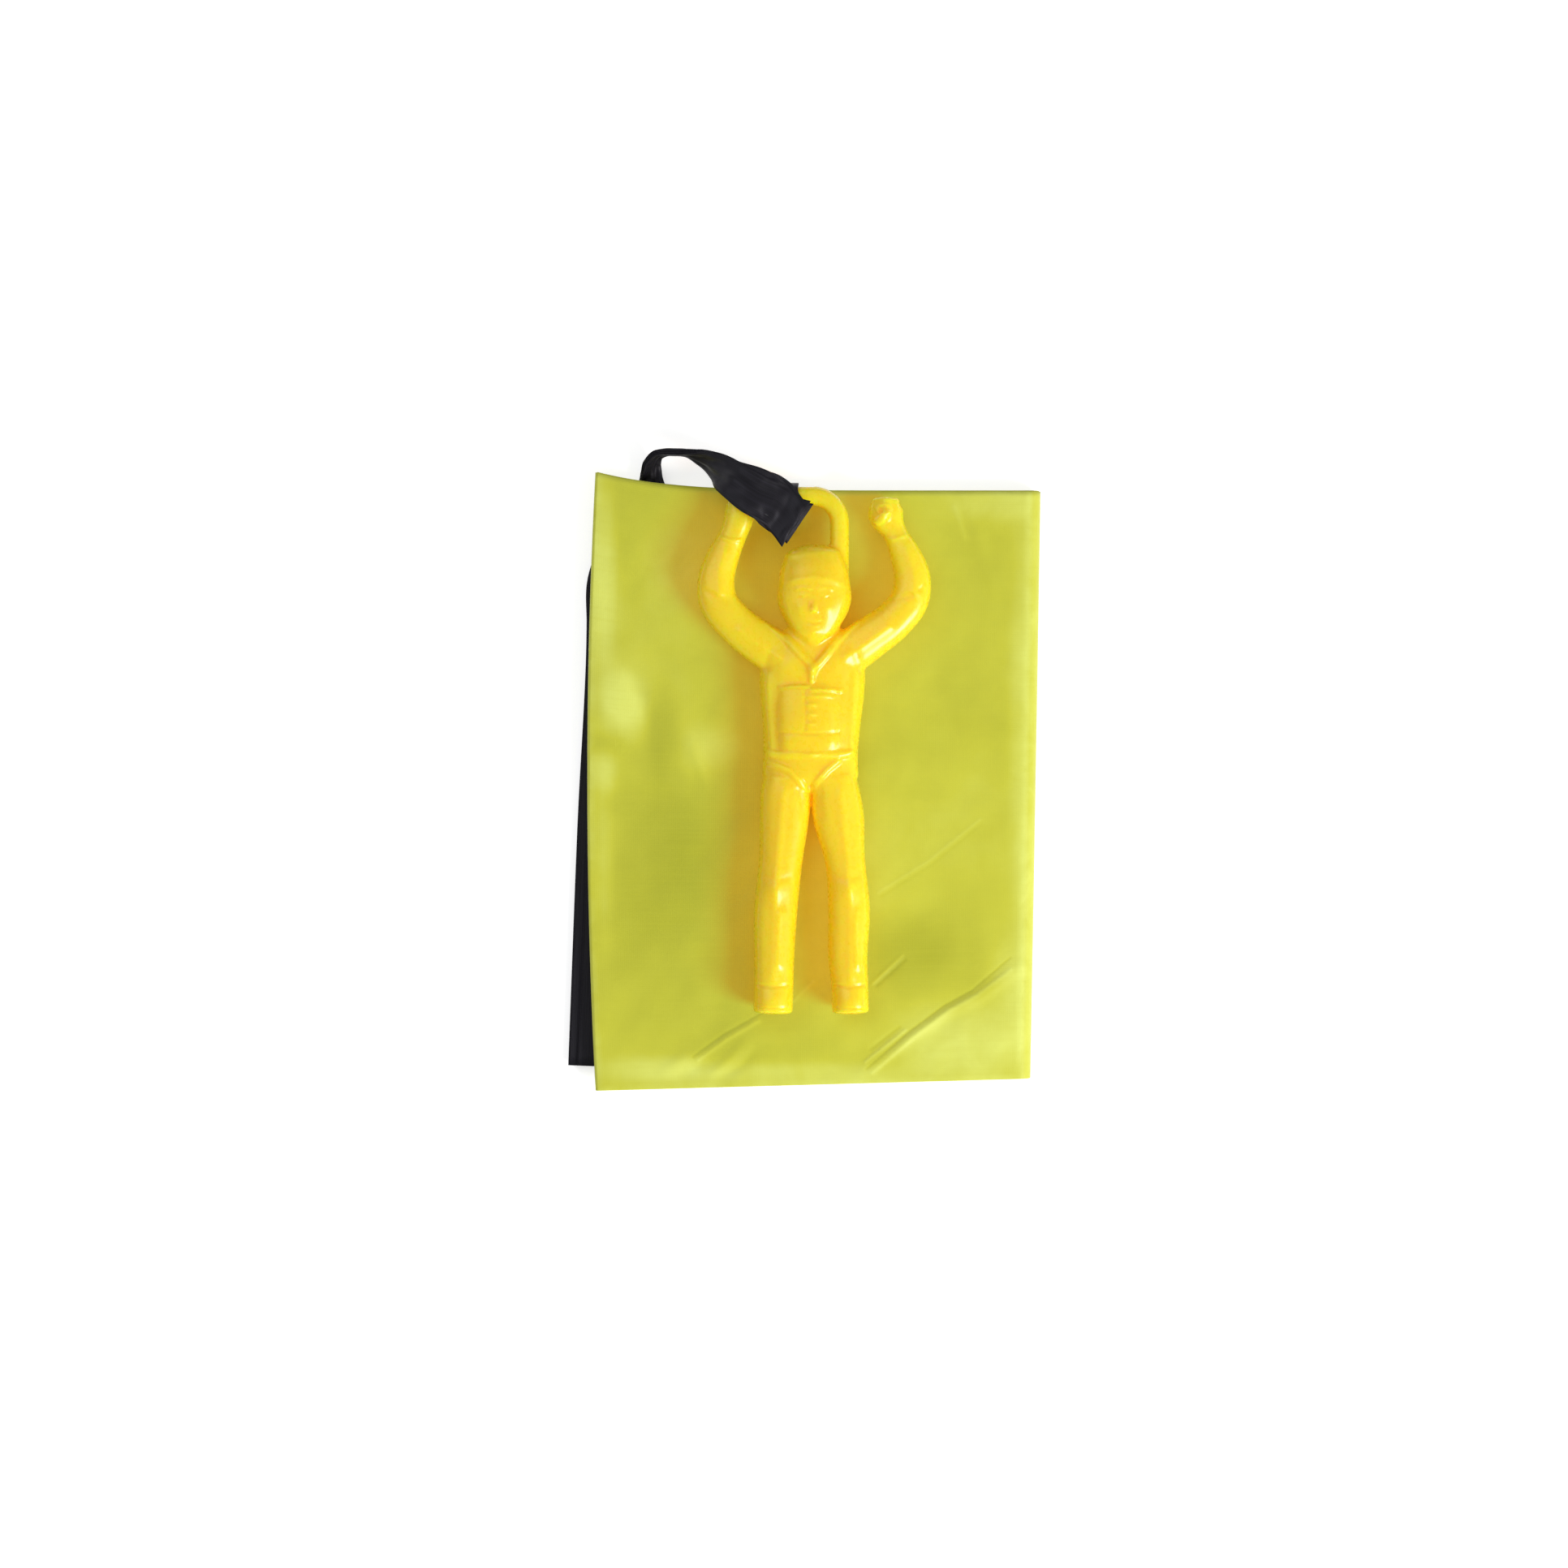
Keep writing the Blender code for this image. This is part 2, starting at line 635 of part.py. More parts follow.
def hook_rows():
    """The hook's line: up from the head, round the bend and along the straight bar to its free end."""
    bend_y = BAR_Y - HOOK_BEND_RADIUS
    bend_x = STEM_X - HOOK_BEND_RADIUS
    line = [(STEM_X, FIGURE_FOOT_Y + STEM_FOOT_SHARE * FIGURE_LENGTH)]
    for step in range(HOOK_STEPS + 1):
        turn = math.pi / 2 * step / HOOK_STEPS
        line.append(
            (bend_x + HOOK_BEND_RADIUS * math.cos(turn), bend_y + HOOK_BEND_RADIUS * math.sin(turn))
        )
    line.append((BAR_END_X + BAR_RADIUS, BAR_Y))
    return [(x, y, PARTING_Z, BAR_RADIUS, BAR_RADIUS) for x, y in line]


def make_figure(material):
    """The skydiver, one moulding: limbs, head and hook merged, its back flat where it lies."""
    parts = [
        body_part(shares)
        for shares in (
            HEAD_SHARES,
            TORSO_SHARES,
            CHEST_PACK_SHARES,
            LEFT_ARM_SHARES,
            RIGHT_ARM_SHARES,
        )
    ]
    parts += [body_part(shares, SOLE_CAP_SHARE) for shares in (LEFT_LEG_SHARES, RIGHT_LEG_SHARES)]
    parts.append(limb(hook_rows()))
    points, faces = [], []
    for part_points, part_faces in parts:
        start = len(points)
        points += part_points
        faces += [tuple(start + corner for corner in face) for face in part_faces]
    floor = PARTING_Z - BACK_DEPTH
    points = [(point.x, point.y, max(point.z, floor)) for point in points]
    figure = mesh_object("skydiver_figure", points, faces, material, (BAR_END_X, BAR_Y, PARTING_Z))
    merge = figure.modifiers.new("moulding", "REMESH")
    merge.mode = "VOXEL"
    merge.voxel_size = MOULD_GRAIN
    thin = figure.modifiers.new("fewer faces", "DECIMATE")
    thin.ratio = FIGURE_DECIMATE_SHARE
    return figure


def main():
    clear_scene()
    nylon = plastic_or_cloth("olive_nylon", (0.56, 0.58, 0.07, 1), 0.45)
    satin = plastic_or_cloth("black_satin", (0.012, 0.012, 0.016, 1), 0.38)
    thread = plastic_or_cloth("black_thread", (0.02, 0.02, 0.022, 1), 0.7)
    plastic = plastic_or_cloth("yellow_plastic", (1.0, 0.62, 0.02, 1), 0.32)
    make_canopy(nylon)
    make_risers(satin)
    make_tacks(thread)
    make_hook_loop(satin)
    make_figure(plastic)


main()
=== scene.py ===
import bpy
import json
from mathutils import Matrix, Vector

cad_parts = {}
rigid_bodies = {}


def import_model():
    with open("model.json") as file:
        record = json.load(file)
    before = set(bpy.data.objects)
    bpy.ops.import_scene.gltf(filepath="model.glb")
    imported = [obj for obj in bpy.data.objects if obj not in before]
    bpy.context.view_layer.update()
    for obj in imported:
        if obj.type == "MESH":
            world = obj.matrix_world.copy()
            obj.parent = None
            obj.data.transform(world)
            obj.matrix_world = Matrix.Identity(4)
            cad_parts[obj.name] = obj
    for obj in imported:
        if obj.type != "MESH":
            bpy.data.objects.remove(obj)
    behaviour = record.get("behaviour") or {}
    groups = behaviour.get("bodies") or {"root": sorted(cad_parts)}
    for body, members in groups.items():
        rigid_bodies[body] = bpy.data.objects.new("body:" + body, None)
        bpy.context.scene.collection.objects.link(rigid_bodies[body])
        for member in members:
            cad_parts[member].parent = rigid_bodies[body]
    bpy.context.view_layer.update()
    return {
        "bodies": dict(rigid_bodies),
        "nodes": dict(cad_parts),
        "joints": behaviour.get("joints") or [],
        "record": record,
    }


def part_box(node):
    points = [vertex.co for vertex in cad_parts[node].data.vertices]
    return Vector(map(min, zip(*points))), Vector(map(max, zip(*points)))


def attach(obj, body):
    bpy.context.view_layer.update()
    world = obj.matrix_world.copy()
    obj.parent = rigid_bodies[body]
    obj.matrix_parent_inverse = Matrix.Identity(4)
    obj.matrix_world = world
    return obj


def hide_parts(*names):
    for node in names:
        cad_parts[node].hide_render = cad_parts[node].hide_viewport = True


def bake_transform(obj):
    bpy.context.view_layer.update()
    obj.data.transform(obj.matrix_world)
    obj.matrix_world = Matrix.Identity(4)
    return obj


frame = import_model()

"""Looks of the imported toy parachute: folded nylon, satin ribbons, stitches and the moulded skydiver.

Lengths are in metres in the part's own frame: +Z up, +Y towards the figure's hook. The comments call
the packet's edges left, right, top and bottom as they are seen from above.
"""

import json
import math

import bmesh
import bpy
import numpy as np
from mathutils import Vector, noise

MM = 0.001

# The view: straight above the toy, with this much of the floor across the picture
CAMERA_HEIGHT = 1.25
VIEW_WIDTH = 0.3478
VIEW_CENTRE_X = -0.00666
VIEW_CENTRE_Y = 0.0
VIEW_PLANE_Z = 0.0060
SENSOR_WIDTH = 36.0
CLIP_NEAR = 0.05
CLIP_FAR = 20.0
FLOOR_SIZE = 4.0
FLOOR_Z = 0.0

# The folded cloth, as the part has it
CLOTH_THICKNESS = 0.00010
LAYER_PITCH = 0.00030
COLUMN_WIDTH = 0.0955
ROW_LENGTH = 0.1330
RISER_POCKET = 0.0019
LEFT_TOP_PEAK = 0.0040
PEAK_POWER = 6
TOP_DROP = 0.0015
RIGHT_BOTTOM_RISE = 0.0012
LEFT_BOTTOM_DROP = 0.0014
RIGHT_BOTTOM_INSET = 0.0022
LEFT_EDGE_BULGE = 0.0018

HALF_CLOTH = CLOTH_THICKNESS / 2
STACK_HEIGHT = 2 * LAYER_PITCH
INNER_LEFT_BASE = STACK_HEIGHT + LAYER_PITCH + RISER_POCKET
INNER_RIGHT_BASE = INNER_LEFT_BASE + STACK_HEIGHT + LAYER_PITCH
TOP_BASE = INNER_RIGHT_BASE + STACK_HEIGHT + LAYER_PITCH
PACKET_TOP = TOP_BASE + STACK_HEIGHT + CLOTH_THICKNESS

# The ribbons, as the part has them, in from the packet's left, top or bottom fold
STRIP_WIDTH = 0.0100
STRIP_THICKNESS = 0.00018
STRIP_PITCH = 0.00034
OUTER_STRIP_FOOT_INSET = -0.00195
OUTER_STRIP_HEAD_INSET = 0.00215
OUTER_STRIP_STEP = 0.0019
STRIP_FOOT_INSET = 0.0037
STRIP_BEND_INSET = 0.0225
STRIP_STRAIGHT_LENGTH = 0.0080
CORNER_STRIP_INSET = 0.00525
CORNER_STRIP_TOP_INSET = 0.0065
CORNER_LEG_LENGTH = 0.0580
EXIT_INSET = 0.01155
EXIT_OVERHANG = 0.0010
ARC_INSET = 0.01675
ARC_OVERHANG = 0.0071
ARC_Z = 0.0061

POCKET_MIDDLE = HALF_CLOTH + (STACK_HEIGHT + INNER_LEFT_BASE) / 2
LEFT_FOLD_X = -COLUMN_WIDTH / 2
TOP_FOLD_Y = ROW_LENGTH / 2
OUTER_STRIP_FOOT_X = LEFT_FOLD_X + OUTER_STRIP_FOOT_INSET
OUTER_STRIP_HEAD_X = LEFT_FOLD_X + OUTER_STRIP_HEAD_INSET
STRIP_FOOT_Y = STRIP_FOOT_INSET - TOP_FOLD_Y
STRIP_BEND_Y = TOP_FOLD_Y - STRIP_BEND_INSET
CORNER_STRIP_X = LEFT_FOLD_X + CORNER_STRIP_INSET
CORNER_STRIP_TOP_Y = TOP_FOLD_Y - CORNER_STRIP_TOP_INSET
CORNER_STRIP_FOOT_Y = CORNER_STRIP_TOP_Y - CORNER_LEG_LENGTH
EXIT_X = LEFT_FOLD_X + EXIT_INSET
EXIT_Y = TOP_FOLD_Y + EXIT_OVERHANG
ARC = Vector((LEFT_FOLD_X + ARC_INSET, TOP_FOLD_Y + ARC_OVERHANG, ARC_Z))

# The hook and the figure's place, as the part has them
BACK_DEPTH = 0.0046
SEAT_GAP = 0.0003
FIGURE_LENGTH = 0.1165
BAR_RADIUS = 0.0020
BAR_INSET = 0.0028
BAR_END_X = -0.0081
STEM_X = 0.0056
HOOK_BEND_RADIUS = 0.0060
LOOP_CLEARANCE = 0.0003
LOOP_WALL = 0.00075
LOOP_WIDTH = 0.0044
LOOP_END_MARGIN = 0.0003
LEAD_CLEARANCE = 0.00035
LEAD_TAIL = 0.0063

PARTING_Z = PACKET_TOP + SEAT_GAP + BACK_DEPTH
BAR_Y = TOP_FOLD_Y - BAR_INSET
FIGURE_FOOT_Y = BAR_Y + BAR_RADIUS - FIGURE_LENGTH
LOOP_INNER_RADIUS = BAR_RADIUS + LOOP_CLEARANCE
LOOP_OUTER_RADIUS = LOOP_INNER_RADIUS + LOOP_WALL
LOOP_START_X = BAR_END_X + LOOP_END_MARGIN
LEAD_HALF_STACK = 1.5 * STRIP_PITCH + STRIP_THICKNESS / 2
OVER_LOOP_Z = PARTING_Z + LOOP_OUTER_RADIUS + LEAD_CLEARANCE + LEAD_HALF_STACK
STRIP_END = Vector((LOOP_START_X + LOOP_WIDTH, BAR_Y - LEAD_TAIL, OVER_LOOP_Z))

# Levels of the ribbons in the pocket, in pitches from its middle
STRIP_LEVEL_SHARES = {1: -0.5, 2: 0.5, 3: -1.5, 4: 1.5}
CORNER_LEG_LEVEL_SHARES = {3: -2.5, 4: 2.5}

# Colours, in linear light
NYLON_LIT = (0.570, 0.578, 0.044)
# The cloth's deeper and paler colours: the ends of its random clouding, and also its painted shade and
# painted highlights
NYLON_SHADE_AND_MOTTLE = (0.395, 0.410, 0.022)
NYLON_HIGHLIGHT_AND_MOTTLE = (0.720, 0.770, 0.150)
SATIN_BLACK = (0.0050, 0.0048, 0.0058)
SATIN_HEATHER = (0.0130, 0.0120, 0.0170)
THREAD_BLACK = (0.014, 0.014, 0.016)
PLASTIC_YELLOW = (0.975, 0.720, 0.018)
PLASTIC_DEEP = (0.960, 0.640, 0.010)
PLASTIC_SHADE = (0.900, 0.580, 0.130)
NYLON_SHEEN = (0.95, 1.0, 0.55)
SATIN_SHEEN = (0.70, 0.66, 1.0)
SATIN_GLOSS = (0.90, 0.88, 1.0)
THREAD_WORN = (0.035, 0.034, 0.042)
FLOOR_WHITE = (0.82, 0.82, 0.82)
PURE_WHITE = (1, 1, 1)
KEY_TINT = (1.0, 0.985, 0.96)
FILL_TINT = (0.96, 0.98, 1.0)

# How far apart the threads are that the materials draw
WEAVE_SPACING = 0.42 * MM
SATIN_RIB_SPACING = 0.36 * MM
SELVEDGE_SPACING = 0.30 * MM
PLY_SPACING = 0.22 * MM
# A Wave texture's scale for bands this far apart is this number over the distance
WAVE_NUMBER = 2 * math.pi / 20
# The middle part of a noise, which nearly all of it falls in
NOISE_LOW = 0.3
NOISE_HIGH = 0.7
# Where a ribbon's woven edge starts and is full, from its middle
SELVEDGE_START = 0.00425
SELVEDGE_FULL = 0.00465
# How deep the materials' relief is, as a bump's distance
RIPPLE_BUMP = 0.9 * MM
CRUMPLE_BUMP = 0.35 * MM
WEAVE_BUMP = 0.05 * MM
RUBBED_BUMP = 0.25 * MM
SELVEDGE_BUMP = 0.08 * MM
PLY_BUMP = 0.06 * MM
FUZZ_BUMP = 0.04 * MM
DENT_BUMP = 0.30 * MM
GRAIN_BUMP = 0.03 * MM
SCUFF_BUMP = 0.02 * MM
# Painted light on the pressed creases, partly the paleness of stressed nylon: how much paler a crest is
# painted for each millimetre that it stands up, and how much deeper a groove is painted as shade for each
# millimetre that it sinks
CREST_LIGHT_AND_WHITENING = 2.4
# How far light wanders in the plastic, and how much of each colour
GLOW_WEIGHT = 0.90
GLOW_REACH = 8.0 * MM
GLOW_SHARES = (1.0, 0.34, 0.04)
# The floor's own light to the camera, and the room's level as the toy sees it
FLOOR_GLOW = 0.62
ROOM_LEVEL = 0.37


def colour(rgb):
    """The colour with full cover, as the sockets take it."""
    return (*rgb, 1.0)


class Finish:
    """A material being put together: a Principled shader and the nodes that feed it."""

    def __init__(self, name):
        self.material = bpy.data.materials.new(name)
        self.material.use_nodes = True
        self.nodes = self.material.node_tree.nodes
        self.links = self.material.node_tree.links
        self.shader = self.nodes["Principled BSDF"]

    def node(self, kind, **inputs):
        """A new node with its inputs fed; an underscore stands for a space in an input's name."""
        made = self.nodes.new(kind)
        for name, value in inputs.items():
            self.feed(made.inputs[name.replace("_", " ")], value)
        return made

    def feed(self, socket, value):
        """Links the socket, or sets it where the value is plain."""
        if isinstance(value, bpy.types.NodeSocket):
            self.links.new(value, socket)
        else:
            socket.default_value = value

    def set(self, **values):
        """Feeds the main shader's inputs."""
        for name, value in values.items():
            self.feed(self.shader.inputs[name.replace("_", " ")], value)

    def place(self, kind):
        """Object coordinates, or the piece's own UV map."""
        return self.node("ShaderNodeTexCoord").outputs[kind]

    def spun(self, vector, scale=(1, 1, 1), turn=(0, 0, 0)):
        """Coordinates stretched and turned, for a pattern with a direction."""
        made = self.node("ShaderNodeMapping", Vector=vector)
        made.inputs["Scale"].default_value = scale
        made.inputs["Rotation"].default_value = turn
        return made.outputs["Vector"]

    def noise(self, vector, scale, detail=3.0, roughness=0.5, distortion=0.0):
        """Cloudy grey from 0 to 1."""
        made = self.node("ShaderNodeTexNoise", Vector=vector, Scale=scale, Detail=detail)
        self.feed(made.inputs["Roughness"], roughness)
        self.feed(made.inputs["Distortion"], distortion)
        return made.outputs["Fac"]

    def threads(self, vector, spacing, direction, distortion=0.0, detail=1.0):
        """Bands this far apart, one for each thread."""
        made = self.node("ShaderNodeTexWave", Vector=vector, Scale=WAVE_NUMBER / spacing)
        self.feed(made.inputs["Distortion"], distortion)
        self.feed(made.inputs["Detail"], detail)
        made.wave_type = "BANDS"
        made.bands_direction = direction
        return made.outputs["Fac"]

    def math(self, operation, first, second=0.0, third=0.0):
        """One sum, product or comparison."""
        made = self.node("ShaderNodeMath")
        made.operation = operation
        for socket, value in zip(made.inputs, (first, second, third)):
            self.feed(socket, value)
        return made.outputs["Value"]

    def ramp(self, factor, low, high, start=0.0, end=1.0):
        """From the low colour at start to the high colour at end."""
        made = self.node("ShaderNodeValToRGB", Fac=factor)
        first, last = made.color_ramp.elements
        first.position, last.position = start, end
        first.color, last.color = colour(low), colour(high)
        return made.outputs["Color"]

    def span(self, factor, low, high, start=0.0, end=1.0):
        """The factor from start to end, as a value from low to high."""
        made = self.node("ShaderNodeMapRange", Value=factor)
        for name, value in (("From Min", start), ("From Max", end), ("To Min", low), ("To Max", high)):
            made.inputs[name].default_value = value
        return made.outputs["Result"]

    def spread(self, cloud, low, high):
        """The middle part of a noise, as a value from low to high."""
        return self.span(cloud, low, high, NOISE_LOW, NOISE_HIGH)

    def mix(self, factor, first, second):
        """The first colour at 0, the second at 1."""
        made = self.node("ShaderNodeMix")
        made.data_type = "RGBA"
        self.feed(made.inputs["Factor"], factor)
        colours = [socket for socket in made.inputs if socket.type == "RGBA"]
        for socket, value in zip(colours, (first, second)):
            self.feed(socket, value if isinstance(value, bpy.types.NodeSocket) else colour(value))
        return next(socket for socket in made.outputs if socket.type == "RGBA")

    def attribute(self, name):
        """A value that the piece's mesh carries."""
        made = self.node("ShaderNodeAttribute")
        made.attribute_name = name
        return made.outputs["Fac"]

    def bump(self, *layers):
        """Layers of (height, distance in metres, strength), the finest last."""
        normal = None
        for height, distance, strength in layers:
            made = self.node("ShaderNodeBump", Height=height, Distance=distance, Strength=strength)
            if normal is not None:
                self.links.new(normal, made.inputs["Normal"])
            normal = made.outputs["Normal"]
        self.links.new(normal, self.shader.inputs["Normal"])


def nylon_finish():
    """Thin plain-weave nylon: fine threads both ways, soft sheen, and a paler colour along the folds that is
    painted highlight, with painted light and shade in zones and on the creases.
    """
    made = Finish("folded_nylon")
    flat = made.place("UV")
    here = made.place("Object")
    warp = made.threads(flat, WEAVE_SPACING, "X", distortion=0.35)
    weft = made.threads(flat, WEAVE_SPACING, "Y", distortion=0.35)
    weave = made.math("MULTIPLY", warp, weft)
    cloudy = made.noise(here, 24.0, detail=3.0, roughness=0.55)
    mottled = made.noise(here, 85.0, detail=3.0, roughness=0.6, distortion=0.4)
    slub = made.noise(made.spun(flat, scale=(6, 190, 1)), 9.0, detail=2.0)
    crumple = made.noise(here, 120.0, detail=4.0, roughness=0.6, distortion=0.6)
    slanted = made.spun(here, scale=(1, 0.45, 1), turn=(0, 0, 0.5))
    ripple = made.noise(slanted, 46.0, detail=2.0, distortion=0.8)
    pressed = pressed_creases(made, here)
    clouds = made.math("ADD", made.spread(cloudy, -0.20, 0.20), made.spread(mottled, -0.07, 0.07))
    # Painted light and shade: zones of the top layer painted paler and deeper, a little mottled
    zone = made.math("MULTIPLY", made.attribute("tone"), made.spread(mottled, 0.75, 1.15))
    # Painted highlight along the packet's fold edges, broken by the crumple noise
    fold_highlight = made.math("MULTIPLY", made.attribute("fold_edge_highlight"), made.spread(crumple, 0.10, 0.55))
    # Painted highlight on the crests of the pressed creases and painted shade in their grooves; the crests
    # are also paler as stressed nylon is
    crest_light = made.math("MULTIPLY", pressed, CREST_LIGHT_AND_WHITENING / MM)
    tone = made.math("ADD", made.math("ADD", zone, clouds), made.math("ADD", fold_highlight, crest_light))
    shaded = made.mix(made.span(tone, 0.0, 1.0, -0.6, 0.05), NYLON_SHADE_AND_MOTTLE, NYLON_LIT)
    base = made.mix(made.span(tone, 0.0, 1.0, 0.05, 0.95), shaded, NYLON_HIGHLIGHT_AND_MOTTLE)
    worn = made.mix(made.span(slub, 0.0, 0.14, 0.45, 0.75), base, NYLON_LIT)
    made.set(Base_Color=worn)
    made.set(Roughness=made.spread(crumple, 0.36, 0.52), Specular_IOR_Level=0.30)
    made.set(Sheen_Weight=0.08, Sheen_Roughness=0.4, Sheen_Tint=colour(NYLON_SHEEN))
    made.bump(
        (pressed, 1.0, 0.6),
        (ripple, RIPPLE_BUMP, 0.30),
        (crumple, CRUMPLE_BUMP, 0.30),
        (weave, WEAVE_BUMP, 0.35),
    )
    return made.material


def satin_finish():
    """Black satin ribbon: long floating warp threads, a woven edge and a blue-violet cast in the gloss."""
    made = Finish("black_satin")
    flat = made.place("UV")
    split = made.node("ShaderNodeSeparateXYZ", Vector=flat)
    across = split.outputs["X"]
    threads = made.noise(made.spun(flat, scale=(5200, 60, 1)), 1.0, detail=2.0)
    ribs = made.threads(flat, SATIN_RIB_SPACING, "X", distortion=0.5)
    crossing = made.threads(flat, SELVEDGE_SPACING, "Y", distortion=0.4)
    selvedge = made.span(made.math("ABSOLUTE", across), 0.0, 1.0, SELVEDGE_START, SELVEDGE_FULL)
    rubbed = made.noise(made.place("Object"), 210.0, detail=3.0)
    made.set(Base_Color=made.mix(made.span(threads, 0.0, 1.0, 0.35, 0.7), SATIN_BLACK, SATIN_HEATHER))
    rough_edge = made.math("MULTIPLY", selvedge, 0.2)
    made.set(Roughness=made.math("ADD", made.spread(rubbed, 0.34, 0.48), rough_edge))
    made.set(Specular_IOR_Level=0.26, Anisotropic=0.45, Sheen_Weight=0.03, Sheen_Roughness=0.35)
    made.set(Sheen_Tint=colour(SATIN_SHEEN), Specular_Tint=colour(SATIN_GLOSS))
    ridge = made.math("MULTIPLY", selvedge, crossing)
    made.bump((rubbed, RUBBED_BUMP, 0.20), (ribs, WEAVE_BUMP, 0.35), (ridge, SELVEDGE_BUMP, 0.5))
    return made.material


def thread_finish():
    """Matt sewing thread, two plies twisted."""
    made = Finish("black_sewing_thread")
    here = made.place("Object")
    plies = made.threads(made.spun(here, turn=(0, 0, 0.9)), PLY_SPACING, "X", distortion=1.5)
    fuzz = made.noise(here, 2600.0, detail=2.0)
    made.set(Base_Color=made.ramp(fuzz, THREAD_BLACK, THREAD_WORN, 0.3, 0.8))
    made.set(Roughness=made.spread(fuzz, 0.55, 0.8), Sheen_Weight=0.25, Sheen_Roughness=0.5)
    made.bump((plies, PLY_BUMP, 0.6), (fuzz, FUZZ_BUMP, 0.4))
    return made.material


def plastic_finish():
    """Soft-gloss moulded plastic: deep yellow that glows a little, with flow marks and fine scuffs."""
    made = Finish("yellow_moulded_plastic")
    here = made.place("Object")
    flow = made.noise(made.spun(here, scale=(1, 0.4, 1)), 38.0, detail=3.0, distortion=1.2)
    grain = made.noise(here, 900.0, detail=3.0, roughness=0.6)
    scratched = made.spun(here, scale=(900, 60, 400), turn=(0, 0, 0.7))
    scuff = made.noise(scratched, 1.0, detail=3.0, roughness=0.7)
    dents = made.noise(here, 170.0, detail=2.0)
    made.set(Base_Color=made.ramp(flow, PLASTIC_DEEP, PLASTIC_YELLOW, 0.22, 0.60))
    scuffed = made.span(scuff, 0.0, 0.16, 0.58, 0.75)
    made.set(Roughness=made.math("ADD", made.spread(grain, 0.24, 0.33), scuffed))
    made.set(Specular_IOR_Level=0.42, Coat_Weight=0.06, Coat_Roughness=0.16)
    made.set(Subsurface_Weight=GLOW_WEIGHT, Subsurface_Radius=GLOW_SHARES, Subsurface_Scale=GLOW_REACH)
    made.bump((dents, DENT_BUMP, 0.16), (grain, GRAIN_BUMP, 0.22), (scuff, SCUFF_BUMP, 0.25))
    colour_shadow(made, PLASTIC_SHADE)
    return made.material


def colour_shadow(made, tint):
    """Lets light through the wall as coloured shadow, as cloudy plastic does."""
    rays = made.node("ShaderNodeLightPath")
    clear = made.node("ShaderNodeBsdfTransparent", Color=colour(tint))
    blend = made.node("ShaderNodeMixShader")
    made.feed(blend.inputs[0], rays.outputs["Is Shadow Ray"])
    made.feed(blend.inputs[1], made.shader.outputs["BSDF"])
    made.feed(blend.inputs[2], clear.outputs["BSDF"])
    made.feed(made.nodes["Material Output"].inputs["Surface"], blend.outputs["Shader"])


def floor_finish():
    """White floor that the camera and the gloss see as plain white, and that still takes shadows."""
    made = Finish("white_floor")
    rays = made.node("ShaderNodeLightPath")
    seen = made.math("MAXIMUM", rays.outputs["Is Camera Ray"], rays.outputs["Is Glossy Ray"])
    seen = made.math("MAXIMUM", seen, rays.outputs["Is Transmission Ray"])
    made.set(Base_Color=colour(FLOOR_WHITE), Roughness=0.9, Specular_IOR_Level=0.1)
    made.set(Emission_Color=colour(PURE_WHITE), Emission_Strength=made.math("MULTIPLY", seen, FLOOR_GLOW))
    return made.material


def crease_tree():
    """How near a point is to the line from Start to End: one on the line, fading over Width."""
    tree = bpy.data.node_groups.new("crease line", "ShaderNodeTree")
    for name, kind in (("Place", "Vector"), ("Start", "Vector"), ("End", "Vector"), ("Width", "Float")):
        tree.interface.new_socket(name, in_out="INPUT", socket_type="NodeSocket" + kind)
    tree.interface.new_socket("Height", in_out="OUTPUT", socket_type="NodeSocketFloat")
    given = tree.nodes.new("NodeGroupInput").outputs

    def vector(operation, first, second, output="Vector"):
        """One sum on vectors; SCALE takes a number as its second."""
        made = tree.nodes.new("ShaderNodeVectorMath")
        made.operation = operation
        tree.links.new(first, made.inputs[0])
        if operation == "SCALE":
            tree.links.new(second, made.inputs["Scale"])
        elif second is not None:
            tree.links.new(second, made.inputs[1])
        return made.outputs[output]

    def number(operation, first, second, clamp=False):
        """One sum on numbers, kept from 0 to 1 where clamp says so."""
        made = tree.nodes.new("ShaderNodeMath")
        made.operation, made.use_clamp = operation, clamp
        for socket, value in zip(made.inputs, (first, second)):
            if isinstance(value, bpy.types.NodeSocket):
                tree.links.new(value, socket)
            else:
                socket.default_value = value
        return made.outputs["Value"]

    reach = vector("SUBTRACT", given["End"], given["Start"])
    away = vector("SUBTRACT", given["Place"], given["Start"])
    covered = vector("DOT_PRODUCT", away, reach, "Value")
    whole = vector("DOT_PRODUCT", reach, reach, "Value")
    share = number("DIVIDE", covered, whole, clamp=True)
    nearest = vector("SCALE", reach, share)
    off = vector("LENGTH", vector("SUBTRACT", away, nearest), None, "Value")
    widths = number("DIVIDE", off, given["Width"])
    fall = number("MULTIPLY", number("MULTIPLY", widths, widths), -1.0)
    tree.links.new(number("EXPONENT", fall, 0.0), tree.nodes.new("NodeGroupOutput").inputs["Height"])
    return tree


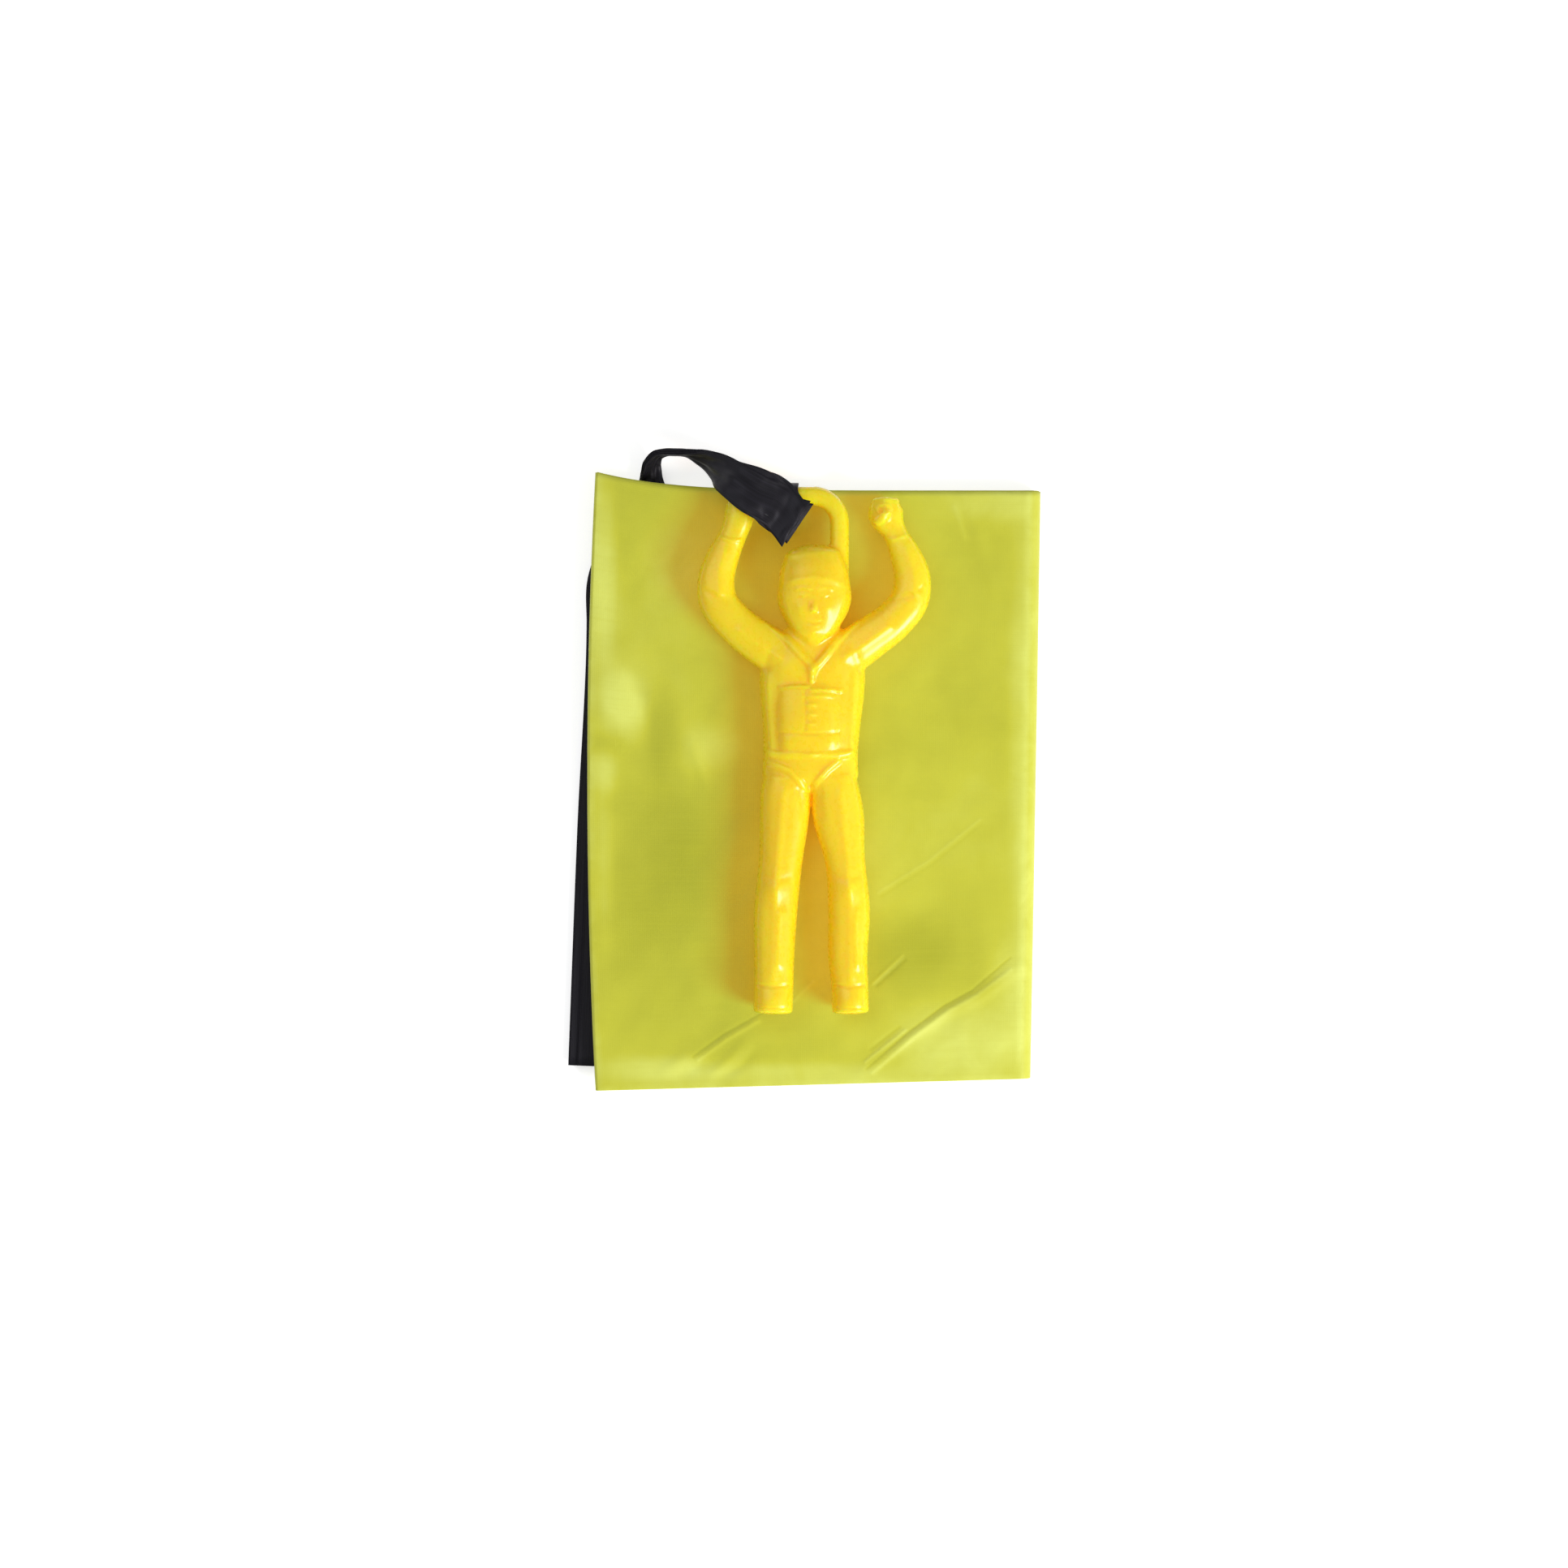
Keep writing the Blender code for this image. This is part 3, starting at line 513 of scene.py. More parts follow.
def pressed_creases(made, here):
    """All sharp creases of the top layer as one height in metres."""
    tree = crease_tree()
    flat = made.node("ShaderNodeVectorMath", Vector=here)
    flat.operation = "MULTIPLY"
    flat.inputs[1].default_value = (1, 1, 0)
    total = None
    for corners, width, height in PRESSED_CREASES:
        line = None
        for start, end in zip(corners, corners[1:]):
            piece = made.nodes.new("ShaderNodeGroup")
            piece.node_tree = tree
            made.feed(piece.inputs["Place"], flat.outputs["Vector"])
            piece.inputs["Start"].default_value = (start[0] * MM, start[1] * MM, 0)
            piece.inputs["End"].default_value = (end[0] * MM, end[1] * MM, 0)
            piece.inputs["Width"].default_value = width * MM
            near = piece.outputs["Height"]
            line = near if line is None else made.math("MAXIMUM", line, near)
        raised = made.math("MULTIPLY", line, height * MM)
        total = raised if total is None else made.math("ADD", total, raised)
    split = made.node("ShaderNodeSeparateXYZ", Vector=here)
    on_top = made.math("GREATER_THAN", split.outputs["Z"], RELIEF_FLOOR)
    return made.math("MULTIPLY", total, on_top)


def placed(name, data):
    """A new object with this data, linked to the scene."""
    made = bpy.data.objects.new(name, data)
    bpy.context.scene.collection.objects.link(made)
    return made


def mark(mesh, name, values):
    """Gives the mesh one value a point, for its material."""
    mesh.attributes.new(name, "FLOAT", "POINT").data.foreach_set("value", np.asarray(values, np.float32))


def grid_object(name, points, wide, uvs, material):
    """An open sheet from rows of points, each row this wide, with its flat place as its UV map."""
    long = len(points) // wide
    corner = (np.arange(long - 1)[:, None] * wide + np.arange(wide - 1)[None, :]).reshape(-1)
    faces = np.stack([corner, corner + 1, corner + wide + 1, corner + wide], axis=1)
    mesh = bpy.data.meshes.new(name)
    mesh.from_pydata(np.asarray(points).tolist(), [], faces.tolist())
    layer = mesh.uv_layers.new(name="flat")
    loops = np.zeros(len(mesh.loops), dtype=np.int64)
    mesh.loops.foreach_get("vertex_index", loops)
    layer.data.foreach_set("uv", np.asarray(uvs, float)[loops].astype(np.float32).reshape(-1))
    mesh.materials.append(material)
    return placed(name, mesh)


def settle(made):
    """Applies the piece's modifiers, points its faces outwards and shades it smooth."""
    bpy.context.view_layer.update()
    graph = bpy.context.evaluated_depsgraph_get()
    solid = made.evaluated_get(graph)
    mesh = bpy.data.meshes.new_from_object(solid, preserve_all_data_layers=True, depsgraph=graph)
    made.modifiers.clear()
    made.data = mesh
    shell = bmesh.new()
    shell.from_mesh(mesh)
    bmesh.ops.recalc_face_normals(shell, faces=shell.faces)
    if shell.calc_volume(signed=True) < 0:
        bmesh.ops.reverse_faces(shell, faces=shell.faces)
    shell.to_mesh(mesh)
    shell.free()
    mesh.shade_smooth()


def thicken(made, thickness):
    """Gives an open sheet its thickness, half of it to each side, and settles it."""
    cloth = made.modifiers.new("cloth", "SOLIDIFY")
    cloth.thickness = thickness
    cloth.offset = 0
    settle(made)


def smoothstep(low, high, value):
    """0 below low, 1 above high and an even S between them."""
    t = np.clip((value - low) / (high - low), 0.0, 1.0)
    return t * t * (3 - 2 * t)


# The canopy: steps round a fold, and between rows or columns where the cloth is plain
FOLD_STEPS = 8
PLAIN_STEP = 4.6 * MM
TOP_STEP = 1.35 * MM
CREASE_STEP = 0.52 * MM
# Where sharp creases run across the top layer, in millimetres, its rows or columns lie closer together
CREASED_COLUMNS = ((-26.0, -12.0), (11.0, 44.0))
CREASED_ROWS = ((-64.0, -38.0),)

# Soft folds in the top layer's shape: their corners in millimetres, width and height, up or down
TOP_CREASES = (
    (((10.6, -64.0), (21.0, -56.5), (30.0, -50.4), (37.0, -47.2), (46.0, -40.4)), 1.30, 0.42),
    (((-49.0, 13.9), (-44.0, 9.0), (-38.5, 3.4)), 1.20, -0.42),
    (((-48.0, 9.5), (-43.0, 5.0), (-38.0, -0.5)), 1.30, 0.30),
    (((-43.5, 26.5), (-39.2, 21.5), (-37.4, 16.5), (-36.6, 10.0)), 1.20, -0.36),
    (((-36.0, 19.0), (-29.0, 12.0), (-24.5, 3.5)), 1.40, 0.22),
    (((-31.5, 8.0), (-31.3, 4.1), (-30.0, 1.0)), 1.30, -0.28),
    (((-27.5, 8.0), (-25.6, 4.6), (-24.0, 0.0)), 1.20, 0.26),
    (((-47.0, 42.0), (-36.0, 30.0), (-31.0, 22.0)), 1.80, -0.20),
    (((-34.0, -64.4), (-29.0, -60.6), (-25.5, -60.6)), 1.20, 0.26),
    (((-24.0, -65.4), (-18.4, -60.6), (-15.6, -57.6)), 1.20, 0.28),
    (((-21.6, -66.0), (-16.2, -62.6), (-12.8, -58.8)), 1.10, -0.24),
    (((-31.0, -66.2), (-26.4, -63.0), (-23.4, -61.4)), 1.10, -0.20),
    (((-48.0, -20.0), (-38.0, -31.0), (-30.0, -45.0)), 2.20, -0.16),
    (((24.0, 30.0), (33.0, 18.0), (45.0, 10.0)), 2.00, 0.14),
    (((33.0, 64.0), (36.5, 56.0), (38.0, 50.0)), 1.50, 0.20),
)
# Sharp creases pressed into the cloth: their corners in millimetres, half width and height
PRESSED_CREASES = (
    (((11.6, -63.2), (20.8, -55.1), (28.7, -49.2), (35.1, -45.7), (43.4, -38.6)), 0.36, -0.095),
    (((12.8, -64.0), (21.8, -56.2), (29.7, -50.3), (36.2, -46.7), (43.6, -41.2)), 0.55, 0.120),
    (((11.4, -61.6), (20.2, -54.6)), 0.40, 0.110),
    (((12.6, -58.8), (18.8, -54.0)), 0.45, -0.080),
    (((-26.8, -60.4), (-20.2, -55.6), (-11.6, -50.8)), 0.38, -0.090),
    (((-25.8, -61.2), (-19.4, -56.6), (-12.4, -52.6)), 0.50, 0.095),
    (((14.2, -24.0), (25.4, -17.0), (36.8, -7.8)), 0.38, 0.050),
    (((15.0, -24.8), (26.0, -17.9), (37.0, -9.0)), 0.45, -0.035),
    (((13.0, -44.2), (19.6, -38.0)), 0.38, 0.080),
    (((13.9, -44.7), (20.2, -39.0)), 0.45, -0.080),
    (((-5.4, -48.8), (-0.2, -43.8)), 0.45, 0.060),
    (((31.2, 61.5), (33.4, 55.0)), 0.70, 0.070),
)
# Painted light and shade on the top layer: where the cloth is painted paler, above zero, or deeper as shade:
# centre and radii in millimetres, and how much
PAINTED_LIGHT_ZONES = (
    ((35.0, -58.0), (15.0, 8.5), 0.85),
    ((45.0, -44.0), (5.0, 9.0), 0.50),
    ((-42.6, 18.0), (5.0, 7.5), 0.90),
    ((-46.6, 46.0), (2.6, 20.0), 0.80),
    ((42.0, 62.5), (12.0, 4.0), 0.60),
    ((46.5, 10.0), (2.8, 46.0), 0.55),
    ((-33.0, -63.5), (14.0, 3.0), 0.75),
    ((-4.0, -64.5), (24.0, 2.6), 0.60),
    ((-47.0, 3.0), (3.0, 5.0), 0.55),
    ((-46.5, -20.0), (2.0, 24.0), 0.35),
    ((-25.0, 8.0), (7.0, 6.0), 0.35),
    ((-30.0, 48.0), (11.0, 12.0), 0.18),
    ((-31.0, -22.0), (15.0, 26.0), -0.34),
    ((20.0, -38.0), (10.0, 9.0), -0.45),
    ((31.0, -30.0), (9.0, 12.0), -0.20),
    ((-33.5, 12.0), (4.0, 10.0), -0.40),
    ((-46.0, 9.0), (4.0, 3.0), -0.35),
    ((33.0, 40.0), (10.0, 16.0), -0.12),
)
# Broad swells of the top layer: centre in millimetres, radii and height
TOP_SWELLS = (
    ((-44.0, 20.0), (5.0, 11.0), 0.55),
    ((-37.0, 44.0), (9.0, 12.0), -0.35),
    ((-30.0, 9.0), (5.0, 6.0), 0.40),
    ((-39.0, -14.0), (9.0, 18.0), -0.30),
    ((-43.0, -48.0), (8.0, 14.0), 0.25),
    ((-14.0, -58.0), (10.0, 5.0), 0.35),
    ((33.0, 36.0), (12.0, 18.0), -0.30),
    ((44.0, 4.0), (6.0, 26.0), 0.30),
    ((26.0, -31.0), (9.0, 10.0), -0.30),
    ((38.0, -56.0), (9.0, 8.0), 0.45),
    ((-24.0, 58.0), (10.0, 7.0), -0.25),
)
# The figure holds the cloth down: how high it may swell there, and how far that reaches
SWELL_LIMIT = 0.22 * MM
HELD_REACH_X = 27.0 * MM
HELD_REACH_Y = 58.0 * MM
HELD_MIDDLE_Y = 5.0 * MM
HELD_SHARE_X = 0.62
HELD_SHARE_Y = 0.88
# Layers above this height take part in the relief; the top one takes all of it
RELIEF_FLOOR = INNER_LEFT_BASE
TOP_LAYER_SHARE = 0.99
# How far in from the fold edges the painted highlight reaches
FOLD_HIGHLIGHT_BAND = 1.6 * MM
RUFFLE_SIZE = 5.5 * MM
RUFFLE_HEIGHT = 0.17 * MM
RUFFLE_PLACE = 0.3
# A crease's fading at its ends starts from here, and follows this power
CREASE_TIP_SHARE = 0.04
CREASE_FADE_POWER = 0.5
ZONE_POWER = 1.5
# Farther than anything on the toy
FAR_AWAY = 1.0


def nearest(x, y, corners):
    """How far each place is from the line through the corners, and its share of the way along it."""
    corners = np.array(corners)
    spans = np.linalg.norm(np.diff(corners, axis=0), axis=1)
    near = np.full(x.shape, FAR_AWAY)
    share = np.zeros(x.shape)
    gone = 0.0
    for start, end, span in zip(corners, corners[1:], spans):
        way = (end - start) / span
        along = np.clip((x - start[0]) * way[0] + (y - start[1]) * way[1], 0.0, span)
        off = np.hypot(x - start[0] - along * way[0], y - start[1] - along * way[1])
        closer = off < near
        near = np.where(closer, off, near)
        share = np.where(closer, (gone + along) / spans.sum(), share)
        gone += span
    return near, share


def crease_heights(x, y, corners, width, height):
    """A rounded ridge or groove along the corners, fading at its ends."""
    near, share = nearest(x, y, np.array(corners) * MM)
    fade = np.sin(np.pi * np.clip(share, CREASE_TIP_SHARE, 1 - CREASE_TIP_SHARE)) ** CREASE_FADE_POWER
    return height * MM * fade * np.exp(-((near / (width * MM)) ** 2))


def from_centre(x, y, centre, radii):
    """The squared distance from a zone's centre, measured in its own radii."""
    return ((x - centre[0] * MM) / (radii[0] * MM)) ** 2 + ((y - centre[1] * MM) / (radii[1] * MM)) ** 2


def top_relief(x, y):
    """How far the top layer stands off its plane: creases, swells and ruffles, held down by the figure."""
    relief = np.zeros(x.shape)
    for corners, width, height in TOP_CREASES:
        relief += crease_heights(x, y, corners, width, height)
    for centre, radii, height in TOP_SWELLS:
        relief += height * MM * np.exp(-from_centre(x, y, centre, radii))
    places = zip(x / RUFFLE_SIZE, y / RUFFLE_SIZE)
    relief += RUFFLE_HEIGHT * np.array([noise.noise(Vector((*place, RUFFLE_PLACE))) for place in places])
    inside_x = 1 - smoothstep(HELD_SHARE_X * HELD_REACH_X, HELD_REACH_X, np.abs(x))
    inside_y = 1 - smoothstep(HELD_SHARE_Y * HELD_REACH_Y, HELD_REACH_Y, np.abs(y - HELD_MIDDLE_Y))
    held = inside_x * inside_y
    pressed = np.minimum(relief, SWELL_LIMIT * np.tanh(np.maximum(relief, 0) / SWELL_LIMIT))
    return relief * (1 - held) + pressed * held


def painted_light_tones(x, y):
    """How much paler or deeper the top layer is painted from place to place: painted light and shade."""
    tones = np.zeros(x.shape)
    for centre, radii, amount in PAINTED_LIGHT_ZONES:
        tones += amount * np.exp(-(from_centre(x, y, centre, radii) ** ZONE_POWER))
    return tones


def stations(half, way, zones=None):
    """Places from one fold to the next, in the order in which the cloth runs."""
    if zones is None:
        count = round(2 * half / PLAIN_STEP)
        return [half * (2 * step / count - 1) for step in range(count + 1)]
    corners = [-half] + [corner * MM for zone in zones for corner in zone] + [half]
    places = [-half]
    for index, (start, end) in enumerate(zip(corners, corners[1:])):
        count = round((end - start) / (CREASE_STEP if index % 2 else TOP_STEP))
        places += [start + (end - start) * (step + 1) / count for step in range(count)]
    return sorted(way * place for place in places)


def row_profile(half, fold):
    """The cloth's folds along Y: (place along the packet, layer, flat distance)."""
    profile, flat = [], 0.0
    for layer in range(3):
        way = 1 if layer == 1 else -1
        for place in stations(half, way, CREASED_ROWS if layer == 0 else None):
            profile.append((way * place, layer, flat + half + place))
        flat += 2 * half
        if layer < 2:
            for step in range(1, FOLD_STEPS):
                turn = math.pi * step / FOLD_STEPS
                along = way * (half + fold * math.sin(turn))
                profile.append((along, layer + (1 - math.cos(turn)) / 2, flat + fold * turn))
            flat += fold * math.pi
    return profile


def column_path(layer, half):
    """The cloth's folds across X at this layer: (place, height, flat distance)."""
    rise = layer * LAYER_PITCH
    heights = (
        rise,
        TOP_BASE + STACK_HEIGHT - rise,
        INNER_RIGHT_BASE + rise,
        INNER_LEFT_BASE + STACK_HEIGHT - rise,
    )
    path, flat = [], 0.0
    for column, height in enumerate(heights):
        way = 1 if column % 2 == 0 else -1
        for place in stations(half, way, CREASED_COLUMNS if column == 1 else None):
            path.append((way * place, height, flat + half + place))
        flat += 2 * half
        if column == 3:
            break
        radius = (heights[column + 1] - height) / 2
        for step in range(1, FOLD_STEPS):
            turn = math.pi * step / FOLD_STEPS
            across = way * (half + abs(radius) * math.sin(turn))
            path.append((across, height + radius * (1 - math.cos(turn)), flat + abs(radius) * turn))
        flat += abs(radius) * math.pi
    return path


def laid_down(x, y):
    """The packet's outline as it lies: a little out of square, its left edge bowed out."""
    across = x / COLUMN_WIDTH + 0.5
    along = y / ROW_LENGTH + 0.5
    top = LEFT_TOP_PEAK * (1 - across) ** PEAK_POWER - TOP_DROP
    bottom = RIGHT_BOTTOM_RISE * across - LEFT_BOTTOM_DROP * (1 - across)
    inset = RIGHT_BOTTOM_INSET * across * (1 - along)
    bulge = LEFT_EDGE_BULGE * (1 - across) * 4 * along * (1 - along)
    return x - inset - bulge, y + top * along + bottom * (1 - along)


def make_canopy(material):
    """The whole cloth in its folds: one sheet, twelve layers, its left edge open between them."""
    rows = row_profile(ROW_LENGTH / 2, LAYER_PITCH / 2)
    points, uvs = [], []
    for along, layer, flat_along in rows:
        for across, height, flat_across in column_path(layer, COLUMN_WIDTH / 2):
            points.append((across, along, height))
            uvs.append((flat_across, flat_along))
    wide = len(column_path(0, COLUMN_WIDTH / 2))
    points = np.array(points)
    x, y = laid_down(points[:, 0], points[:, 1])
    lift = np.clip((points[:, 2] - RELIEF_FLOOR) / (TOP_BASE + STACK_HEIGHT - RELIEF_FLOOR), 0.0, 1.0)
    z = points[:, 2] + HALF_CLOTH + top_relief(x, y) * lift
    on_top = lift > TOP_LAYER_SHARE
    for corners, width, height in PRESSED_CREASES:
        z += crease_heights(x, y, corners, width, height) * on_top
    # How near each point is to the packet's fold edges, for a painted highlight along them
    left_right = np.minimum(points[:, 0] + COLUMN_WIDTH / 2, COLUMN_WIDTH / 2 - points[:, 0])
    ends = np.minimum(points[:, 1] + ROW_LENGTH / 2, ROW_LENGTH / 2 - points[:, 1])
    edge = 1 - smoothstep(0.0, FOLD_HIGHLIGHT_BAND, np.minimum(left_right, ends))
    canopy = grid_object("canopy_cloth", np.stack([x, y, z], axis=1), wide, uvs, material)
    mark(canopy.data, "fold_edge_highlight", edge)
    # Painted light and shade in zones on the top layer
    mark(canopy.data, "tone", painted_light_tones(x, y) * on_top)
    thicken(canopy, CLOTH_THICKNESS)
    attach(canopy, "packet")
    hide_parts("canopy")


# The gathered ribbons' route: across, along and up from the arc to their ends, lean in degrees, width
LEAD_ROUTE_SHARES = (
    (0.090, 0.010, 0.02, 88, 0.52),
    (0.196, 0.080, 0.12, 70, 0.56),
    (0.321, 0.200, 0.47, 42, 0.66),
    (0.464, 0.375, 0.98, 4, 0.80),
    (0.643, 0.555, 1.20, -8, 0.94),
    (0.804, 0.730, 1.10, -12, 1.00),
    (0.929, 0.905, 1.06, -5, 1.00),
    (1.000, 1.000, 1.09, 0, 1.00),
)
# The same from the packet's top edge up to the arc
RISE_ROUTE_SHARES = (
    (0.00, -0.70, 0.00, 0, 0.90),
    (0.00, -0.30, 0.00, 0, 0.70),
    (0.00, 0.05, 0.00, 0, 0.52),
    (0.00, 0.28, 0.12, 12, 0.46),
    (0.03, 0.62, 0.48, 42, 0.42),
    (0.28, 0.92, 0.84, 72, 0.38),
    (0.64, 1.00, 0.97, 87, 0.38),
    (1.00, 1.00, 1.00, 90, 0.45),
)
RIBBON_ACROSS = 16
POCKET_STEPS = 24
RISE_STEPS = 8
LEAD_STEPS = 14
HAIRPIN_STEPS = 8
LEG_STEPS = 16
# How far each ribbon lies to the side of the others near the hook, and how much of its end is cut back
FAN_OUT = {1: 0.50 * MM, 2: -0.10 * MM, 3: -0.45 * MM, 4: 0.95 * MM}
FAN_SWAY = {1: 0.35 * MM, 2: -0.55 * MM, 3: 0.75 * MM, 4: -0.60 * MM}
END_ROWS_CUT = {1: 2, 2: 4, 3: 0, 4: 5}
# How much further the side towards the figure's head reaches at the ribbons' ends
END_REACH = 2.0 * MM
END_LIFT_SHARE = 0.55
END_REACH_SHARES = {1: 0.7, 2: 0.5, 3: 0.4, 4: 1.0}
END_REACH_MIDDLE = 0.35
END_REACH_START = 0.80
# Where along the gathered stretch the ribbons fan out, and how often they sway
FAN_START, FAN_FULL = 0.35, 0.80
SWAY_TURNS = 5.2
SWAY_STEP = 0.6
PLEAT_HEIGHT = 0.24 * MM
PLEATS = 2.5
# The crumples near the hook: their pattern's length, heights and sizes, and where they start and die away
LEAD_LENGTH = 29.0 * MM
CRUMPLE_HEIGHT = 0.95 * MM
CRUMPLE_RISE = 0.42
CRUMPLE_SIZE = 3.4 * MM
CRUMPLE_SIZE_SHARES = (1.0, 1.25)
CRUMPLE_PLACE = 4.7
FINE_CRUMPLE_HEIGHT = 0.22 * MM
FINE_SIZE_SHARES = (0.45, 0.9)
FINE_PLACE = 9.1
CROWN_HEIGHT = 0.35 * MM
LOWEST_CRUMPLE = 0.12 * MM
LOOSE_START, LOOSE_FULL = 0.30, 0.55
SEWN_START = 0.93
SEWN_SHARE = 0.45


def smooth_route(rows, steps):
    """A smooth curve through the rows: at each step the row's values and the direction."""
    rows = np.array(rows, float)
    spans = np.linalg.norm(np.diff(rows[:, :3], axis=0), axis=1)[:, None]
    slopes = np.diff(rows, axis=0) / spans
    inner = (slopes[:-1] * spans[1:] + slopes[1:] * spans[:-1]) / (spans[1:] + spans[:-1])
    tangents = np.vstack([slopes[:1], inner, slopes[-1:]])
    route = []
    for index, span in enumerate(spans[:, 0]):
        rise = rows[index + 1] - rows[index]
        leave, arrive = tangents[index] * span, tangents[index + 1] * span
        square = 3 * rise - 2 * leave - arrive
        cube = leave + arrive - 2 * rise
        last = index == len(spans) - 1
        for step in range(steps[index] + last):
            t = step / steps[index]
            row = rows[index] + leave * t + square * t * t + cube * t * t * t
            route.append((row, (leave + 2 * square * t + 3 * cube * t * t)[:3]))
    return route


def strip_frames(route):
    """Each point of the route with its width and face directions and its width share."""
    frames = []
    for row, direction in route:
        ahead = Vector(direction).normalized()
        side = ahead.cross(Vector((0, 0, 1))).normalized()
        up = side.cross(ahead).normalized()
        lean = math.radians(row[3])
        width = side * math.cos(lean) - up * math.sin(lean)
        frames.append((Vector(row[:3]), width, width.cross(ahead).normalized(), row[4]))
    return frames


def pocket_rows(number):
    """Where this ribbon lies between the cloth's layers, from its sewn end to the packet's top edge."""
    if number in CORNER_LEG_LEVEL_SHARES:
        return [(CORNER_STRIP_X, CORNER_STRIP_FOOT_Y, POCKET_MIDDLE, 0, 1)]
    step = OUTER_STRIP_STEP * (number - 1)
    middle_x = (OUTER_STRIP_FOOT_X + OUTER_STRIP_HEAD_X) / 2
    middle_y = (STRIP_FOOT_Y + STRIP_BEND_Y) / 2
    return [
        (OUTER_STRIP_FOOT_X + step, STRIP_FOOT_Y, POCKET_MIDDLE, 0, 1),
        (middle_x + step, middle_y, POCKET_MIDDLE, 0, 1),
        (OUTER_STRIP_HEAD_X + step / 2, STRIP_BEND_Y - STRIP_STRAIGHT_LENGTH, POCKET_MIDDLE, 0, 1),
        (OUTER_STRIP_HEAD_X + step / 2, STRIP_BEND_Y, POCKET_MIDDLE, 0, 1),
    ]


def corner_leg(number):
    """The first leg of a ribbon sewn at the top corner: down between the layers and round its hairpin."""
    start = CORNER_LEG_LEVEL_SHARES[number] * STRIP_PITCH
    end = STRIP_LEVEL_SHARES[number] * STRIP_PITCH
    width, up = Vector((1, 0, 0)), Vector((0, 0, 1))
    frames = []
    for along in np.linspace(CORNER_STRIP_TOP_Y, CORNER_STRIP_FOOT_Y, LEG_STEPS):
        frames.append((Vector((CORNER_STRIP_X, along, POCKET_MIDDLE + start)), width, -up, 1))
    radius = (end - start) / 2
    for step in range(1, HAIRPIN_STEPS):
        turn = math.pi * step / HAIRPIN_STEPS
        height = POCKET_MIDDLE + start + radius * (1 - math.cos(turn))
        place = Vector((CORNER_STRIP_X, CORNER_STRIP_FOOT_Y - abs(radius) * math.sin(turn), height))
        way = 1 if radius > 0 else -1
        frames.append((place, width, Vector((0, -way * math.sin(turn), -math.cos(turn))), 1))
    return frames


def lead_rows():
    """The gathered ribbons' middle from the arc to their ends over the hook."""
    return [
        (
            ARC.x + across * (STRIP_END.x - ARC.x),
            ARC.y + along * (STRIP_END.y - ARC.y),
            ARC.z + up * (OVER_LOOP_Z - ARC.z),
            lean,
            share,
        )
        for across, along, up, lean, share in LEAD_ROUTE_SHARES
    ]


def rise_rows():
    """The gathered ribbons' middle from the packet's edge up to the arc."""
    return [
        (
            EXIT_X + across * (ARC.x - EXIT_X),
            EXIT_Y + along * (ARC.y - EXIT_Y),
            POCKET_MIDDLE + up * (ARC.z - POCKET_MIDDLE),
            lean,
            share,
        )
        for across, along, up, lean, share in RISE_ROUTE_SHARES
    ]


def crumple_wave(along, across, size_shares, place):
    """Smooth waves from -1 to 1 over the gathered stretch, their size as shares of a crumple's."""
    long, wide = (share * CRUMPLE_SIZE for share in size_shares)
    return noise.noise(Vector((along * LEAD_LENGTH / long, across / wide, place)))


def crumple(along, across, share):
    """How far the ribbons stand off their route: pleats where they gather, soft crumples near the hook."""
    gathered = math.sin(math.pi * (1 - share))
    pleats = PLEAT_HEIGHT * gathered * math.cos(2 * math.pi * PLEATS * (across / STRIP_WIDTH))
    sewn = 1 - SEWN_SHARE * smoothstep(SEWN_START, 1.0, along)
    loose = smoothstep(LOOSE_START, LOOSE_FULL, along) * sewn
    height = CRUMPLE_HEIGHT * (crumple_wave(along, across, CRUMPLE_SIZE_SHARES, CRUMPLE_PLACE) + CRUMPLE_RISE)
    height += FINE_CRUMPLE_HEIGHT * crumple_wave(along, across, FINE_SIZE_SHARES, FINE_PLACE)
    height += CROWN_HEIGHT * math.cos(math.pi * across / STRIP_WIDTH)
    return pleats + float(loose) * max(height, LOWEST_CRUMPLE)


def ribbon_frames(number, level):
    """This ribbon's places, directions and width shares, each with its share of the way from arc to hook."""
    pocket = pocket_rows(number)
    rise = rise_rows()
    lead = lead_rows()
    steps = [POCKET_STEPS] * len(pocket) + [RISE_STEPS] * (len(rise) - 1) + [LEAD_STEPS] * len(lead)
    frames = strip_frames(smooth_route(pocket + rise + lead, steps))
    shift = level * STRIP_PITCH
    frames = [(place + face * shift, width, face, share) for place, width, face, share in frames]
    lead_count = LEAD_STEPS * len(lead)
    lead_start = len(frames) - 1 - lead_count
    if number in CORNER_LEG_LEVEL_SHARES:
        leg = corner_leg(number)
        frames = leg + frames
        lead_start += len(leg)
    frames = frames[: len(frames) - END_ROWS_CUT[number]]
    return [(*frame, max(0.0, (index - lead_start) / lead_count)) for index, frame in enumerate(frames)]


